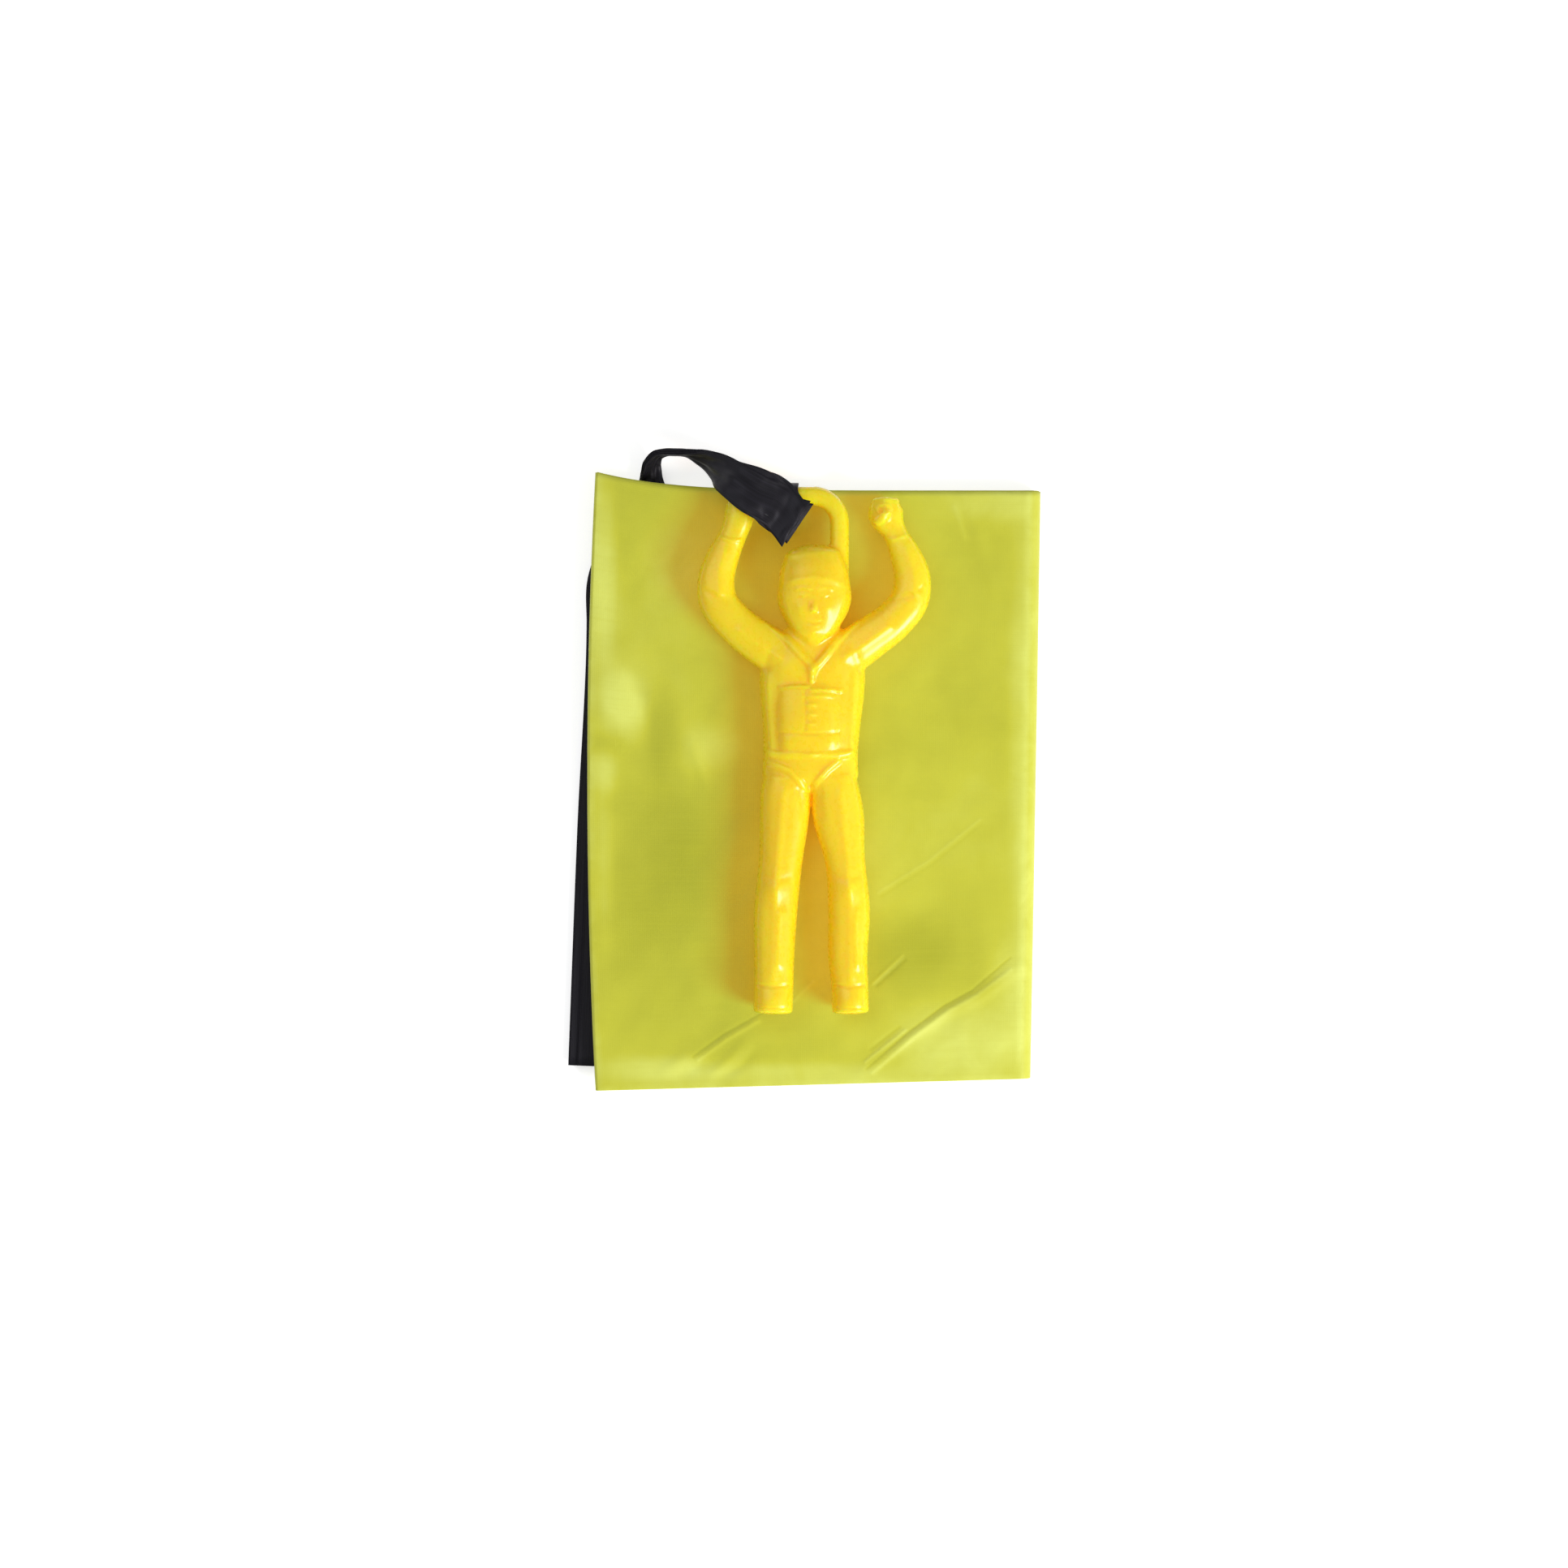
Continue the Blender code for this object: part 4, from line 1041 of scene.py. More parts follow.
def make_ribbon(number, level, material):
    """One ribbon from its sewn corner, through the packet and over its edge, to the hook."""
    points, uvs, gone, before = [], [], 0.0, None
    for place, width, face, share, along in ribbon_frames(number, level):
        gone += 0.0 if before is None else (place - before).length
        before = place
        sway = FAN_SWAY[number] * math.sin(math.pi * (SWAY_TURNS * along + SWAY_STEP * number))
        fan = float(smoothstep(FAN_START, FAN_FULL, along)) * (FAN_OUT[number] + sway)
        end_reach = END_REACH * END_REACH_SHARES[number] * float(smoothstep(END_REACH_START, 1.0, along))
        for step in range(RIBBON_ACROSS + 1):
            flat = (step / RIBBON_ACROSS - 0.5) * STRIP_WIDTH
            across = flat * share + fan
            lift = crumple(along, flat + fan, share) if share < 1 or along > 0 else 0.0
            reach = end_reach * (END_REACH_MIDDLE + flat / STRIP_WIDTH)
            lift += END_LIFT_SHARE * max(reach, 0.0)
            points.append(place + width * across + face * lift + face.cross(width) * reach)
            uvs.append((flat, gone))
    ribbon = grid_object(f"riser_ribbon_{number}", points, RIBBON_ACROSS + 1, uvs, material)
    thicken(ribbon, STRIP_THICKNESS)
    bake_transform(ribbon)
    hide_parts(f"riser_{number}_stowed", f"riser_{number}_lead")


# The band round the hook's bar: its turns, where the first starts and how wavy its edge is
LOOP_TURNS = 2.6
LOOP_TURN_STEPS = 44
LOOP_START_TURN = 0.35 * math.pi
LOOP_ACROSS = 12
LOOP_WAVE = 0.10 * MM
LOOP_WAVE_SHARE = 0.9
LOOP_WAVES = 5


def make_loop_wrap(material):
    """The ribbons' ends turned round the hook's bar: a wound band with a slightly wavy edge."""
    first = LOOP_INNER_RADIUS + STRIP_THICKNESS / 2
    last = LOOP_OUTER_RADIUS - STRIP_THICKNESS / 2
    count = int(LOOP_TURNS * LOOP_TURN_STEPS)
    points, uvs = [], []
    for step in range(count + 1):
        share = step / count
        radius = first + share * (last - first)
        turn = LOOP_START_TURN + 2 * math.pi * LOOP_TURNS * share
        for column in range(LOOP_ACROSS + 1):
            across = column / LOOP_ACROSS
            edge = LOOP_WAVE_SHARE * LOOP_WAVE * math.sin(LOOP_WAVES * turn) * (2 * across - 1)
            x = LOOP_START_X + LOOP_WAVE + across * (LOOP_WIDTH - 2 * LOOP_WAVE) + edge
            points.append((x, BAR_Y + radius * math.cos(turn), PARTING_Z + radius * math.sin(turn)))
            uvs.append(((across - 0.5) * LOOP_WIDTH, radius * turn))
    wrap = grid_object("hook_loop_wrap", points, LOOP_ACROSS + 1, uvs, material)
    thicken(wrap, STRIP_THICKNESS)
    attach(wrap, "loop")
    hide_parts("hook_loop")


# Stitches: the thread, how closely they are sewn, and each one's arch and turn
THREAD_RADIUS = 0.10 * MM
STITCH_SPACING = 0.27 * MM
THREAD_SIDES = 7
STITCH_DIP_SHARE = -0.5
STITCH_CROWN_SHARE = 1.3
STITCH_TURN = 0.16
STITCH_SEED = 7
CORNER_TACK_SIZE = (4.9 * MM, 1.0 * MM, 0.30 * MM)
LOOP_TACK_SIZE = (6.9 * MM, 1.3 * MM, 0.34 * MM)
# The loop's stitching is this many rows of the route's table before its end
LOOP_TACK_ROW = 2


def tack_tree(material):
    """Geometry Nodes: a packed row of arched stitches, each turned a little."""
    tree = bpy.data.node_groups.new("packed stitches", "GeometryNodeTree")
    tree.interface.new_socket("Geometry", in_out="INPUT", socket_type="NodeSocketGeometry")
    for name, kind in (
        ("Row length", "NodeSocketFloat"),
        ("Stitch length", "NodeSocketFloat"),
        ("Stitch height", "NodeSocketFloat"),
        ("Thread radius", "NodeSocketFloat"),
        ("Stitches", "NodeSocketInt"),
    ):
        tree.interface.new_socket(name, in_out="INPUT", socket_type=kind)
    tree.interface.new_socket("Geometry", in_out="OUTPUT", socket_type="NodeSocketGeometry")
    nodes, link = tree.nodes, tree.links.new
    given = nodes.new("NodeGroupInput").outputs
    out = nodes.new("NodeGroupOutput").inputs

    def number(operation, first, second):
        """One sum on numbers."""
        made = nodes.new("ShaderNodeMath")
        made.operation = operation
        for socket, value in zip(made.inputs, (first, second)):
            if isinstance(value, bpy.types.NodeSocket):
                link(value, socket)
            else:
                socket.default_value = value
        return made.outputs[0]

    def point(**axes):
        """A place from the axes named; the others are zero."""
        made = nodes.new("ShaderNodeCombineXYZ")
        for axis, value in axes.items():
            link(value, made.inputs[axis])
        return made.outputs[0]

    def thread(start, middle, end):
        """A bent round thread with closed ends."""
        curve = nodes.new("GeometryNodeCurveQuadraticBezier")
        curve.inputs["Resolution"].default_value = THREAD_SIDES
        for name, value in (("Start", start), ("Middle", middle), ("End", end)):
            link(value, curve.inputs[name])
        ring = nodes.new("GeometryNodeCurvePrimitiveCircle")
        ring.inputs["Resolution"].default_value = THREAD_SIDES
        link(given["Thread radius"], ring.inputs["Radius"])
        tube = nodes.new("GeometryNodeCurveToMesh")
        tube.inputs["Fill Caps"].default_value = True
        link(curve.outputs[0], tube.inputs["Curve"])
        link(ring.outputs[0], tube.inputs["Profile Curve"])
        return tube.outputs[0]

    half_row = number("MULTIPLY", given["Row length"], 0.5)
    half_stitch = number("MULTIPLY", given["Stitch length"], 0.5)
    low = number("MULTIPLY", given["Stitch height"], STITCH_DIP_SHARE)
    high = number("MULTIPLY", given["Stitch height"], STITCH_CROWN_SHARE)
    start = point(Y=number("MULTIPLY", half_stitch, -1.0), Z=low)
    arch = thread(start, point(Z=high), point(Y=half_stitch, Z=low))
    line = nodes.new("GeometryNodeMeshLine")
    line.mode = "END_POINTS"
    link(given["Stitches"], line.inputs["Count"])
    link(point(X=number("MULTIPLY", half_row, -1.0)), line.inputs["Start Location"])
    link(point(X=half_row), line.inputs["Offset"])
    turn = nodes.new("FunctionNodeRandomValue")
    turn.data_type = "FLOAT_VECTOR"
    turn.inputs["Min"].default_value = (0, 0, -STITCH_TURN)
    turn.inputs["Max"].default_value = (0, 0, STITCH_TURN)
    turn.inputs["Seed"].default_value = STITCH_SEED
    each = nodes.new("GeometryNodeInstanceOnPoints")
    link(line.outputs[0], each.inputs["Points"])
    link(arch, each.inputs["Instance"])
    link(turn.outputs["Value"], each.inputs["Rotation"])
    real = nodes.new("GeometryNodeRealizeInstances")
    link(each.outputs[0], real.inputs[0])
    paint = nodes.new("GeometryNodeSetMaterial")
    paint.inputs["Material"].default_value = material
    link(real.outputs[0], paint.inputs["Geometry"])
    link(paint.outputs[0], out["Geometry"])
    return tree


def make_tack(name, node, body, tree, axes, size):
    """Packed stitches at this node's place; axes are the row's, the stitches' and the upward directions."""
    low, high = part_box(node)
    centre = (Vector(low) + Vector(high)) / 2
    row, stitch, height = size
    holder = placed(name, bpy.data.meshes.new(name))
    sewn = holder.modifiers.new("stitches", "NODES")
    sewn.node_group = tree
    values = {
        "Row length": row - 2 * THREAD_RADIUS,
        "Stitch length": stitch - 2 * THREAD_RADIUS,
        "Stitch height": height - 2 * THREAD_RADIUS,
        "Thread radius": THREAD_RADIUS,
        "Stitches": int(row / STITCH_SPACING),
    }
    for item in tree.interface.items_tree:
        if item.in_out == "INPUT" and item.name in values:
            sewn[item.identifier] = values[item.name]
    bpy.context.view_layer.update()
    graph = bpy.context.evaluated_depsgraph_get()
    mesh = bpy.data.meshes.new_from_object(holder.evaluated_get(graph), depsgraph=graph)
    holder.modifiers.clear()
    holder.data = mesh
    places = np.zeros(len(mesh.vertices) * 3)
    mesh.vertices.foreach_get("co", places)
    basis = np.array([list(axis) for axis in axes])
    mesh.vertices.foreach_set("co", (places.reshape(-1, 3) @ basis + np.array(centre)).reshape(-1))
    mesh.update()
    mesh.shade_smooth()
    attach(holder, body)
    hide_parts(node)


def make_tacks(material):
    """The stitching at the ribbons' four corners, and across their ends behind the loop."""
    tree = tack_tree(material)
    right, ahead, up = Vector((1, 0, 0)), Vector((0, 1, 0)), Vector((0, 0, 1))
    for number in STRIP_LEVEL_SHARES:
        name, node = f"corner_stitches_{number}", f"corner_tack_{number}"
        make_tack(name, node, "packet", tree, (right, ahead, up), CORNER_TACK_SIZE)
    steps = [LEAD_STEPS] * (len(LEAD_ROUTE_SHARES) - 1)
    frames = strip_frames(smooth_route(lead_rows(), steps))
    _, width, face, _ = frames[-1 - LOOP_TACK_ROW * LEAD_STEPS]
    axes = (width, face.cross(width), face)
    make_tack("loop_stitches", "loop_bar_tack", "riser_bundle", tree, axes, LOOP_TACK_SIZE)


# The moulded figure's limbs, in shares of its length: across, along from the soles, up from the parting
# plane, half width and half depth
HEAD_SHARES = (
    (-0.002, 0.866, 0.010, 0.0560, 0.0400),
    (-0.001, 0.846, 0.011, 0.0630, 0.0470),
    (0.000, 0.815, 0.012, 0.0680, 0.0510),
    (0.000, 0.785, 0.012, 0.0705, 0.0510),
    (0.000, 0.762, 0.012, 0.0640, 0.0480),
    (0.000, 0.741, 0.012, 0.0525, 0.0460),
    (0.000, 0.719, 0.013, 0.0370, 0.0400),
    (0.000, 0.707, 0.014, 0.0220, 0.0300),
)
TORSO_SHARES = (
    (-0.002, 0.722, 0.000, 0.060, 0.034),
    (-0.002, 0.690, 0.000, 0.092, 0.039),
    (-0.003, 0.650, 0.001, 0.099, 0.042),
    (-0.004, 0.600, 0.001, 0.0975, 0.042),
    (-0.005, 0.540, 0.001, 0.0910, 0.042),
    (-0.007, 0.480, 0.000, 0.0890, 0.040),
    (-0.007, 0.452, 0.000, 0.0905, 0.039),
)
CHEST_PACK_SHARES = (
    (-0.010, 0.618, 0.026, 0.0600, 0.022),
    (-0.010, 0.580, 0.027, 0.0620, 0.024),
    (-0.010, 0.540, 0.027, 0.0610, 0.024),
    (-0.010, 0.500, 0.025, 0.0580, 0.022),
)
LEFT_ARM_SHARES = (
    (-0.058, 0.676, 0.000, 0.043, 0.036),
    (-0.108, 0.708, 0.000, 0.040, 0.034),
    (-0.154, 0.745, 0.000, 0.037, 0.032),
    (-0.182, 0.782, 0.000, 0.036, 0.030),
    (-0.186, 0.822, 0.000, 0.034, 0.028),
    (-0.173, 0.868, 0.000, 0.030, 0.025),
    (-0.152, 0.914, 0.000, 0.0250, 0.022),
    (-0.142, 0.950, 0.000, 0.0270, 0.0235),
    (-0.144, 0.966, 0.000, 0.0240, 0.0215),
)
RIGHT_ARM_SHARES = (
    (0.052, 0.676, 0.000, 0.043, 0.036),
    (0.104, 0.712, 0.000, 0.040, 0.034),
    (0.152, 0.748, 0.000, 0.037, 0.032),
    (0.181, 0.786, 0.000, 0.036, 0.030),
    (0.186, 0.828, 0.000, 0.034, 0.028),
    (0.171, 0.876, 0.000, 0.028, 0.026),
    (0.151, 0.916, 0.000, 0.0225, 0.022),
    (0.1355, 0.950, 0.000, 0.0330, 0.0245),
    (0.1345, 0.965, 0.000, 0.0280, 0.0225),
)
LEFT_LEG_SHARES = (
    (-0.050, 0.446, 0.000, 0.0440, 0.038),
    (-0.0540, 0.422, 0.000, 0.0465, 0.038),
    (-0.0556, 0.3835, 0.000, 0.0463, 0.037),
    (-0.0633, 0.291, 0.000, 0.0402, 0.036),
    (-0.0726, 0.198, 0.001, 0.0402, 0.034),
    (-0.0757, 0.105, 0.001, 0.0371, 0.032),
    (-0.0765, 0.051, 0.002, 0.0363, 0.032),
    (-0.0780, 0.005, 0.004, 0.0363, 0.034),
)
RIGHT_LEG_SHARES = (
    (0.034, 0.446, 0.000, 0.0440, 0.038),
    (0.0400, 0.422, 0.000, 0.0450, 0.038),
    (0.0448, 0.3835, 0.000, 0.0479, 0.037),
    (0.0587, 0.291, 0.000, 0.0371, 0.036),
    (0.0664, 0.198, 0.001, 0.0386, 0.034),
    (0.0641, 0.105, 0.001, 0.0363, 0.032),
    (0.0680, 0.051, 0.002, 0.0340, 0.032),
    (0.0690, 0.005, 0.004, 0.0340, 0.034),
)
NOSE_SHARES = (
    (-0.001, 0.782, 0.058, 0.0045, 0.0050),
    (-0.001, 0.764, 0.0625, 0.0068, 0.0070),
)
# The right fist's fingers: their two ends across, height and radius, and the first and last one's places
FINGERS = 4
FINGER_SHARES = (0.1150, 0.1570, 0.0150, 0.0066)
FIST_SHARES = (0.9720, 0.9385)
# How far the middle fingers reach out, and how far a finger's ends and middle are from its height
KNUCKLE_BOW_SHARE = 0.0035
FINGER_SLANT_SHARE = 0.0005
FINGER_CURL_SHARES = (-0.006, 0.006, -0.008)
THUMB_SHARES = (
    (0.1180, 0.930, 0.0210, 0.0080, 0.0080),
    (0.1300, 0.940, 0.0275, 0.0080, 0.0075),
    (0.1400, 0.952, 0.0270, 0.0072, 0.0070),
)

# Relief on the figure's upper side, in shares of its length: a line's corners, half width and height.
# First the straps of the harness and the belt
STRAP_LINES = (
    (((-0.088, 0.744), (-0.0653, 0.7237), (-0.0165, 0.6718), (-0.0015, 0.657)), 0.0075, 0.0060),
    (((0.080, 0.746), (0.060, 0.7267), (0.0077, 0.663), (-0.0015, 0.657)), 0.0075, 0.0060),
    (((-0.002, 0.656), (-0.004, 0.640), (-0.005, 0.632)), 0.0055, 0.0058),
    (((-0.088, 0.494), (-0.050, 0.490), (0.000, 0.4885), (0.040, 0.490), (0.074, 0.494)), 0.0065, 0.0060),
    (((-0.088, 0.478), (-0.048, 0.462), (-0.017, 0.430), (-0.008, 0.424)), 0.0055, 0.0048),
    (((0.046, 0.480), (0.024, 0.462), (-0.001, 0.432), (-0.008, 0.424)), 0.0055, 0.0048),
)
# Edges and seams of the chest pack, boots, cuffs and thumb
SEAM_LINES = (
    (((-0.066, 0.618), (-0.034, 0.621), (-0.012, 0.620)), 0.0030, 0.0022),
    (((-0.006, 0.613), (0.020, 0.614), (0.050, 0.612)), 0.0034, 0.0040),
    (((-0.066, 0.532), (-0.010, 0.530), (0.046, 0.532)), 0.0026, -0.0024),
    (((-0.018, 0.612), (-0.016, 0.560), (-0.018, 0.536)), 0.0024, -0.0016),
    (((-0.110, 0.054), (-0.078, 0.052), (-0.045, 0.055)), 0.0026, -0.0030),
    (((0.036, 0.054), (0.068, 0.052), (0.100, 0.055)), 0.0026, -0.0030),
    (((-0.110, 0.012), (-0.078, 0.011), (-0.045, 0.012)), 0.0022, -0.0020),
    (((0.036, 0.012), (0.068, 0.011), (0.100, 0.012)), 0.0022, -0.0020),
    (((-0.179, 0.905), (-0.160, 0.897), (-0.134, 0.897)), 0.0035, 0.0026),
    (((0.126, 0.900), (0.148, 0.898), (0.176, 0.908)), 0.0035, 0.0026),
    (((0.118, 0.957), (0.123, 0.964), (0.133, 0.966), (0.143, 0.963), (0.146, 0.956)), 0.0026, 0.0030),
    (((0.146, 0.956), (0.142, 0.949), (0.131, 0.946), (0.121, 0.950), (0.118, 0.957)), 0.0026, 0.0030),
)
# Soft rounded folds and ridges, in the same shares
SOFT_LINES = (
    (((-0.090, 0.640), (-0.088, 0.570), (-0.083, 0.500)), 0.0080, 0.0040),
    (((0.079, 0.640), (0.076, 0.570), (0.072, 0.500)), 0.0080, 0.0040),
    (((-0.058, 0.420), (-0.068, 0.300), (-0.074, 0.200), (-0.078, 0.070)), 0.0085, 0.0030),
    (((0.050, 0.420), (0.062, 0.300), (0.070, 0.200), (0.070, 0.070)), 0.0085, 0.0030),
    (((-0.030, 0.424), (-0.024, 0.405), (-0.022, 0.380)), 0.0060, -0.0018),
    (((0.012, 0.424), (0.010, 0.400), (0.014, 0.372)), 0.0060, -0.0018),
    (((-0.094, 0.262), (-0.072, 0.252), (-0.050, 0.258)), 0.0070, -0.0016),
    (((0.038, 0.262), (0.060, 0.254), (0.084, 0.262)), 0.0070, -0.0016),
    (((-0.066, 0.190), (-0.068, 0.150), (-0.070, 0.095)), 0.0100, 0.0048),
    (((0.080, 0.190), (0.080, 0.150), (0.082, 0.095)), 0.0100, 0.0048),
    (((-0.204, 0.800), (-0.186, 0.790), (-0.166, 0.782)), 0.0060, -0.0018),
    (((0.202, 0.806), (0.184, 0.794), (0.164, 0.788)), 0.0060, -0.0018),
    (((0.060, 0.676), (0.100, 0.704), (0.139, 0.733)), 0.0080, 0.0034),
    (((-0.066, 0.676), (-0.104, 0.700), (-0.140, 0.726)), 0.0080, 0.0026),
    (((-0.178, 0.800), (-0.180, 0.840), (-0.170, 0.876)), 0.0090, 0.0026),
    (((0.190, 0.800), (0.190, 0.840), (0.176, 0.880)), 0.0090, 0.0026),
    (((-0.082, 0.690), (-0.090, 0.668), (-0.096, 0.640)), 0.0080, -0.0020),
    (((0.076, 0.690), (0.084, 0.668), (0.090, 0.640)), 0.0080, -0.0020),
)
# The face and helmet: calm, with closed lids under a raised visor band
FACE_LINES = (
    (((-0.062, 0.812), (-0.034, 0.822), (0.000, 0.8255), (0.034, 0.822), (0.062, 0.812)), 0.0070, 0.0026),
    (((-0.0585, 0.812), (-0.0545, 0.780), (-0.0450, 0.748), (-0.0300, 0.722)), 0.0060, 0.0016),
    (((0.0585, 0.812), (0.0545, 0.780), (0.0450, 0.748), (0.0300, 0.722)), 0.0060, 0.0016),
    (((-0.0300, 0.722), (-0.0120, 0.7105), (0.0120, 0.7105), (0.0300, 0.722)), 0.0055, 0.0020),
    (((-0.034, 0.8030), (-0.022, 0.8065), (-0.009, 0.8035)), 0.0028, 0.0026),
    (((0.032, 0.8030), (0.020, 0.8065), (0.007, 0.8035)), 0.0028, 0.0026),
    (((-0.030, 0.7885), (-0.021, 0.7860), (-0.012, 0.7885)), 0.0014, -0.0024),
    (((0.028, 0.7885), (0.019, 0.7860), (0.010, 0.7885)), 0.0014, -0.0024),
    (((-0.014, 0.7400), (-0.001, 0.7388), (0.012, 0.7400)), 0.0015, -0.0028),
    (((-0.011, 0.7440), (-0.001, 0.7452), (0.009, 0.7440)), 0.0022, 0.0020),
    (((-0.009, 0.7345), (-0.001, 0.7335), (0.007, 0.7345)), 0.0024, 0.0022),
)
# Round swellings and hollows: across, along, their two radii and height
FACE_MOUNDS = (
    (-0.021, 0.7915, 0.0110, 0.0075, 0.0034),
    (0.019, 0.7915, 0.0110, 0.0075, 0.0034),
    (-0.021, 0.7915, 0.0180, 0.0140, -0.0036),
    (0.019, 0.7915, 0.0180, 0.0140, -0.0036),
    (-0.026, 0.7660, 0.0120, 0.0120, 0.0026),
    (0.024, 0.7660, 0.0120, 0.0120, 0.0026),
    (-0.001, 0.7220, 0.0110, 0.0080, 0.0034),
    (-0.0065, 0.7600, 0.0030, 0.0026, 0.0018),
    (0.0045, 0.7600, 0.0030, 0.0026, 0.0018),
    (-0.046, 0.868, 0.0110, 0.0060, 0.0040),
)
BODY_MOUNDS = (
    (-0.004, 0.652, 0.0088, 0.0088, 0.0080),
    (-0.0745, 0.240, 0.0200, 0.0240, 0.0050),
    (0.0640, 0.240, 0.0200, 0.0240, 0.0050),
    (0.010, 0.602, 0.0260, 0.0042, 0.0040),
    (-0.006, 0.585, 0.0110, 0.0040, 0.0042),
    (-0.006, 0.567, 0.0100, 0.0036, 0.0040),
    (-0.006, 0.549, 0.0100, 0.0034, 0.0036),
    (-0.006, 0.4890, 0.0120, 0.0085, 0.0034),
    (-0.052, 0.515, 0.0140, 0.0110, 0.0024),
    (0.034, 0.515, 0.0140, 0.0110, 0.0024),
    (-0.078, 0.028, 0.0280, 0.0180, 0.0040),
    (0.069, 0.028, 0.0260, 0.0180, 0.0040),
    (-0.050, 0.668, 0.0300, 0.0240, 0.0040),
    (0.046, 0.668, 0.0300, 0.0240, 0.0040),
)
# How sharp the edges of raised lines are: flat-topped straps and seams, rounded folds and features
STRAP_EDGE = 4
SOFT_EDGE = 2
# The parting rim round the moulding's side
RIM_WIDTH = 0.30 * MM
RIM_HEIGHT = 0.16 * MM
# The rim and the relief leave the hook alone: the bar where the loop is, and all above the head
RIM_BAR_REACH = 1.5 * BAR_RADIUS
HOOK_FOOT_SHARE = 0.882
HOOK_FADE = 1.0 * MM
HOOK_REACH_X = 11.0 * MM
HOOK_MIDDLE_X = 1.0 * MM
# Relief is full where the surface faces up this much, and starts here
FACING_START, FACING_FULL = 0.15, 0.75
# Sections and rounded ends of the limbs
SQUARENESS_SHARE = 0.82
CAP_SHARE = 0.6
SOLE_CAP_SHARE = 0.15
STEM_FOOT_SHARE = 0.800
ROUND_SIDES = 32
CAP_STEPS = 5
CAP_END = CAP_STEPS + 0.5
SMOOTH_STEPS = 4
HOOK_STEPS = 16
SOFTENING = 0.5
SOFTENING_ROUNDS = 5
# The grain in which the limbs are merged
MOULD_GRAIN = 0.34 * MM


def section_ring(centre, side, half_width, half_depth):
    """A rounded section across a limb."""
    ring = []
    for step in range(ROUND_SIDES):
        turn = 2 * math.pi * step / ROUND_SIDES
        wide, deep = math.cos(turn), math.sin(turn)
        wide = math.copysign(abs(wide) ** SQUARENESS_SHARE, wide)
        deep = math.copysign(abs(deep) ** SQUARENESS_SHARE, deep)
        ring.append(centre + side * (wide * half_width) + Vector((0, 0, deep * half_depth)))
    return ring


def limb(rows, cap_share=CAP_SHARE):
    """Points and faces of one limb: sections along its line, with rounded ends."""
    places = [Vector(row[:3]) for row in rows]
    rings = []
    for index, row in enumerate(rows):
        ahead = places[min(index + 1, len(rows) - 1)] - places[max(index - 1, 0)]
        side = Vector((ahead.y, -ahead.x, 0)).normalized()
        rings.append((places[index], ahead.normalized(), side, row[3], row[4]))

    def cap(place, way, side, wide, deep):
        """Sections that round off one end."""
        made = []
        for step in range(1, CAP_STEPS + 1):
            turn = math.pi / 2 * step / CAP_END
            centre = place + way * (min(wide, deep) * cap_share * math.sin(turn))
            made.append(section_ring(centre, side, wide * math.cos(turn), deep * math.cos(turn)))
        return made

    place, ahead, side, wide, deep = rings[0]
    loops = cap(place, -ahead, side, wide, deep)[::-1]
    loops += [section_ring(place, side, wide, deep) for place, _, side, wide, deep in rings]
    place, ahead, side, wide, deep = rings[-1]
    loops += cap(place, ahead, side, wide, deep)
    points = [point for loop in loops for point in loop]
    faces = [tuple(range(ROUND_SIDES)), tuple(range(len(points) - 1, len(points) - ROUND_SIDES - 1, -1))]
    for ring in range(len(loops) - 1):
        for step in range(ROUND_SIDES):
            after = (step + 1) % ROUND_SIDES
            near, far = ring * ROUND_SIDES, (ring + 1) * ROUND_SIDES
            faces.append((near + step, near + after, far + after, far + step))
    return points, faces


def body_part(shares, cap_share=CAP_SHARE):
    """A limb from its table of shares, its rows rounded off to a smooth curve."""
    rows = [
        (
            across * FIGURE_LENGTH,
            FIGURE_FOOT_Y + along * FIGURE_LENGTH,
            PARTING_Z + up * FIGURE_LENGTH,
            wide * FIGURE_LENGTH,
            deep * FIGURE_LENGTH,
        )
        for across, along, up, wide, deep in shares
    ]
    if len(rows) > 2:
        rows = [row for row, _ in smooth_route(rows, [SMOOTH_STEPS] * (len(rows) - 1))]
    return limb(rows, cap_share)


def fist_parts():
    """Four curled fingers across the right fist, and its thumb."""
    low_x, high_x, up, radius = FINGER_SHARES
    top, bottom = FIST_SHARES
    parts = []
    for finger in range(FINGERS):
        along = top + (bottom - top) * finger / (FINGERS - 1)
        bow = KNUCKLE_BOW_SHARE * math.sin(math.pi * (finger + 0.5) / FINGERS)
        across = (low_x - bow, (low_x + high_x) / 2, high_x + bow)
        slant = (0, FINGER_SLANT_SHARE, 0)
        rows = zip(across, slant, FINGER_CURL_SHARES)
        parts.append(body_part([(x, along + ahead, up + curl, radius, radius) for x, ahead, curl in rows]))
    return parts + [body_part(THUMB_SHARES)]


def hook_rows():
    """The hook's line: up from the head, round the bend and along the straight bar to its free end."""
    bend_y = BAR_Y - HOOK_BEND_RADIUS
    bend_x = STEM_X - HOOK_BEND_RADIUS
    line = [(STEM_X, FIGURE_FOOT_Y + STEM_FOOT_SHARE * FIGURE_LENGTH)]
    for step in range(HOOK_STEPS + 1):
        turn = math.pi / 2 * step / HOOK_STEPS
        out, up = HOOK_BEND_RADIUS * math.cos(turn), HOOK_BEND_RADIUS * math.sin(turn)
        line.append((bend_x + out, bend_y + up))
    line.append((BAR_END_X + BAR_RADIUS, BAR_Y))
    return [(x, y, PARTING_Z, BAR_RADIUS, BAR_RADIUS) for x, y in line]


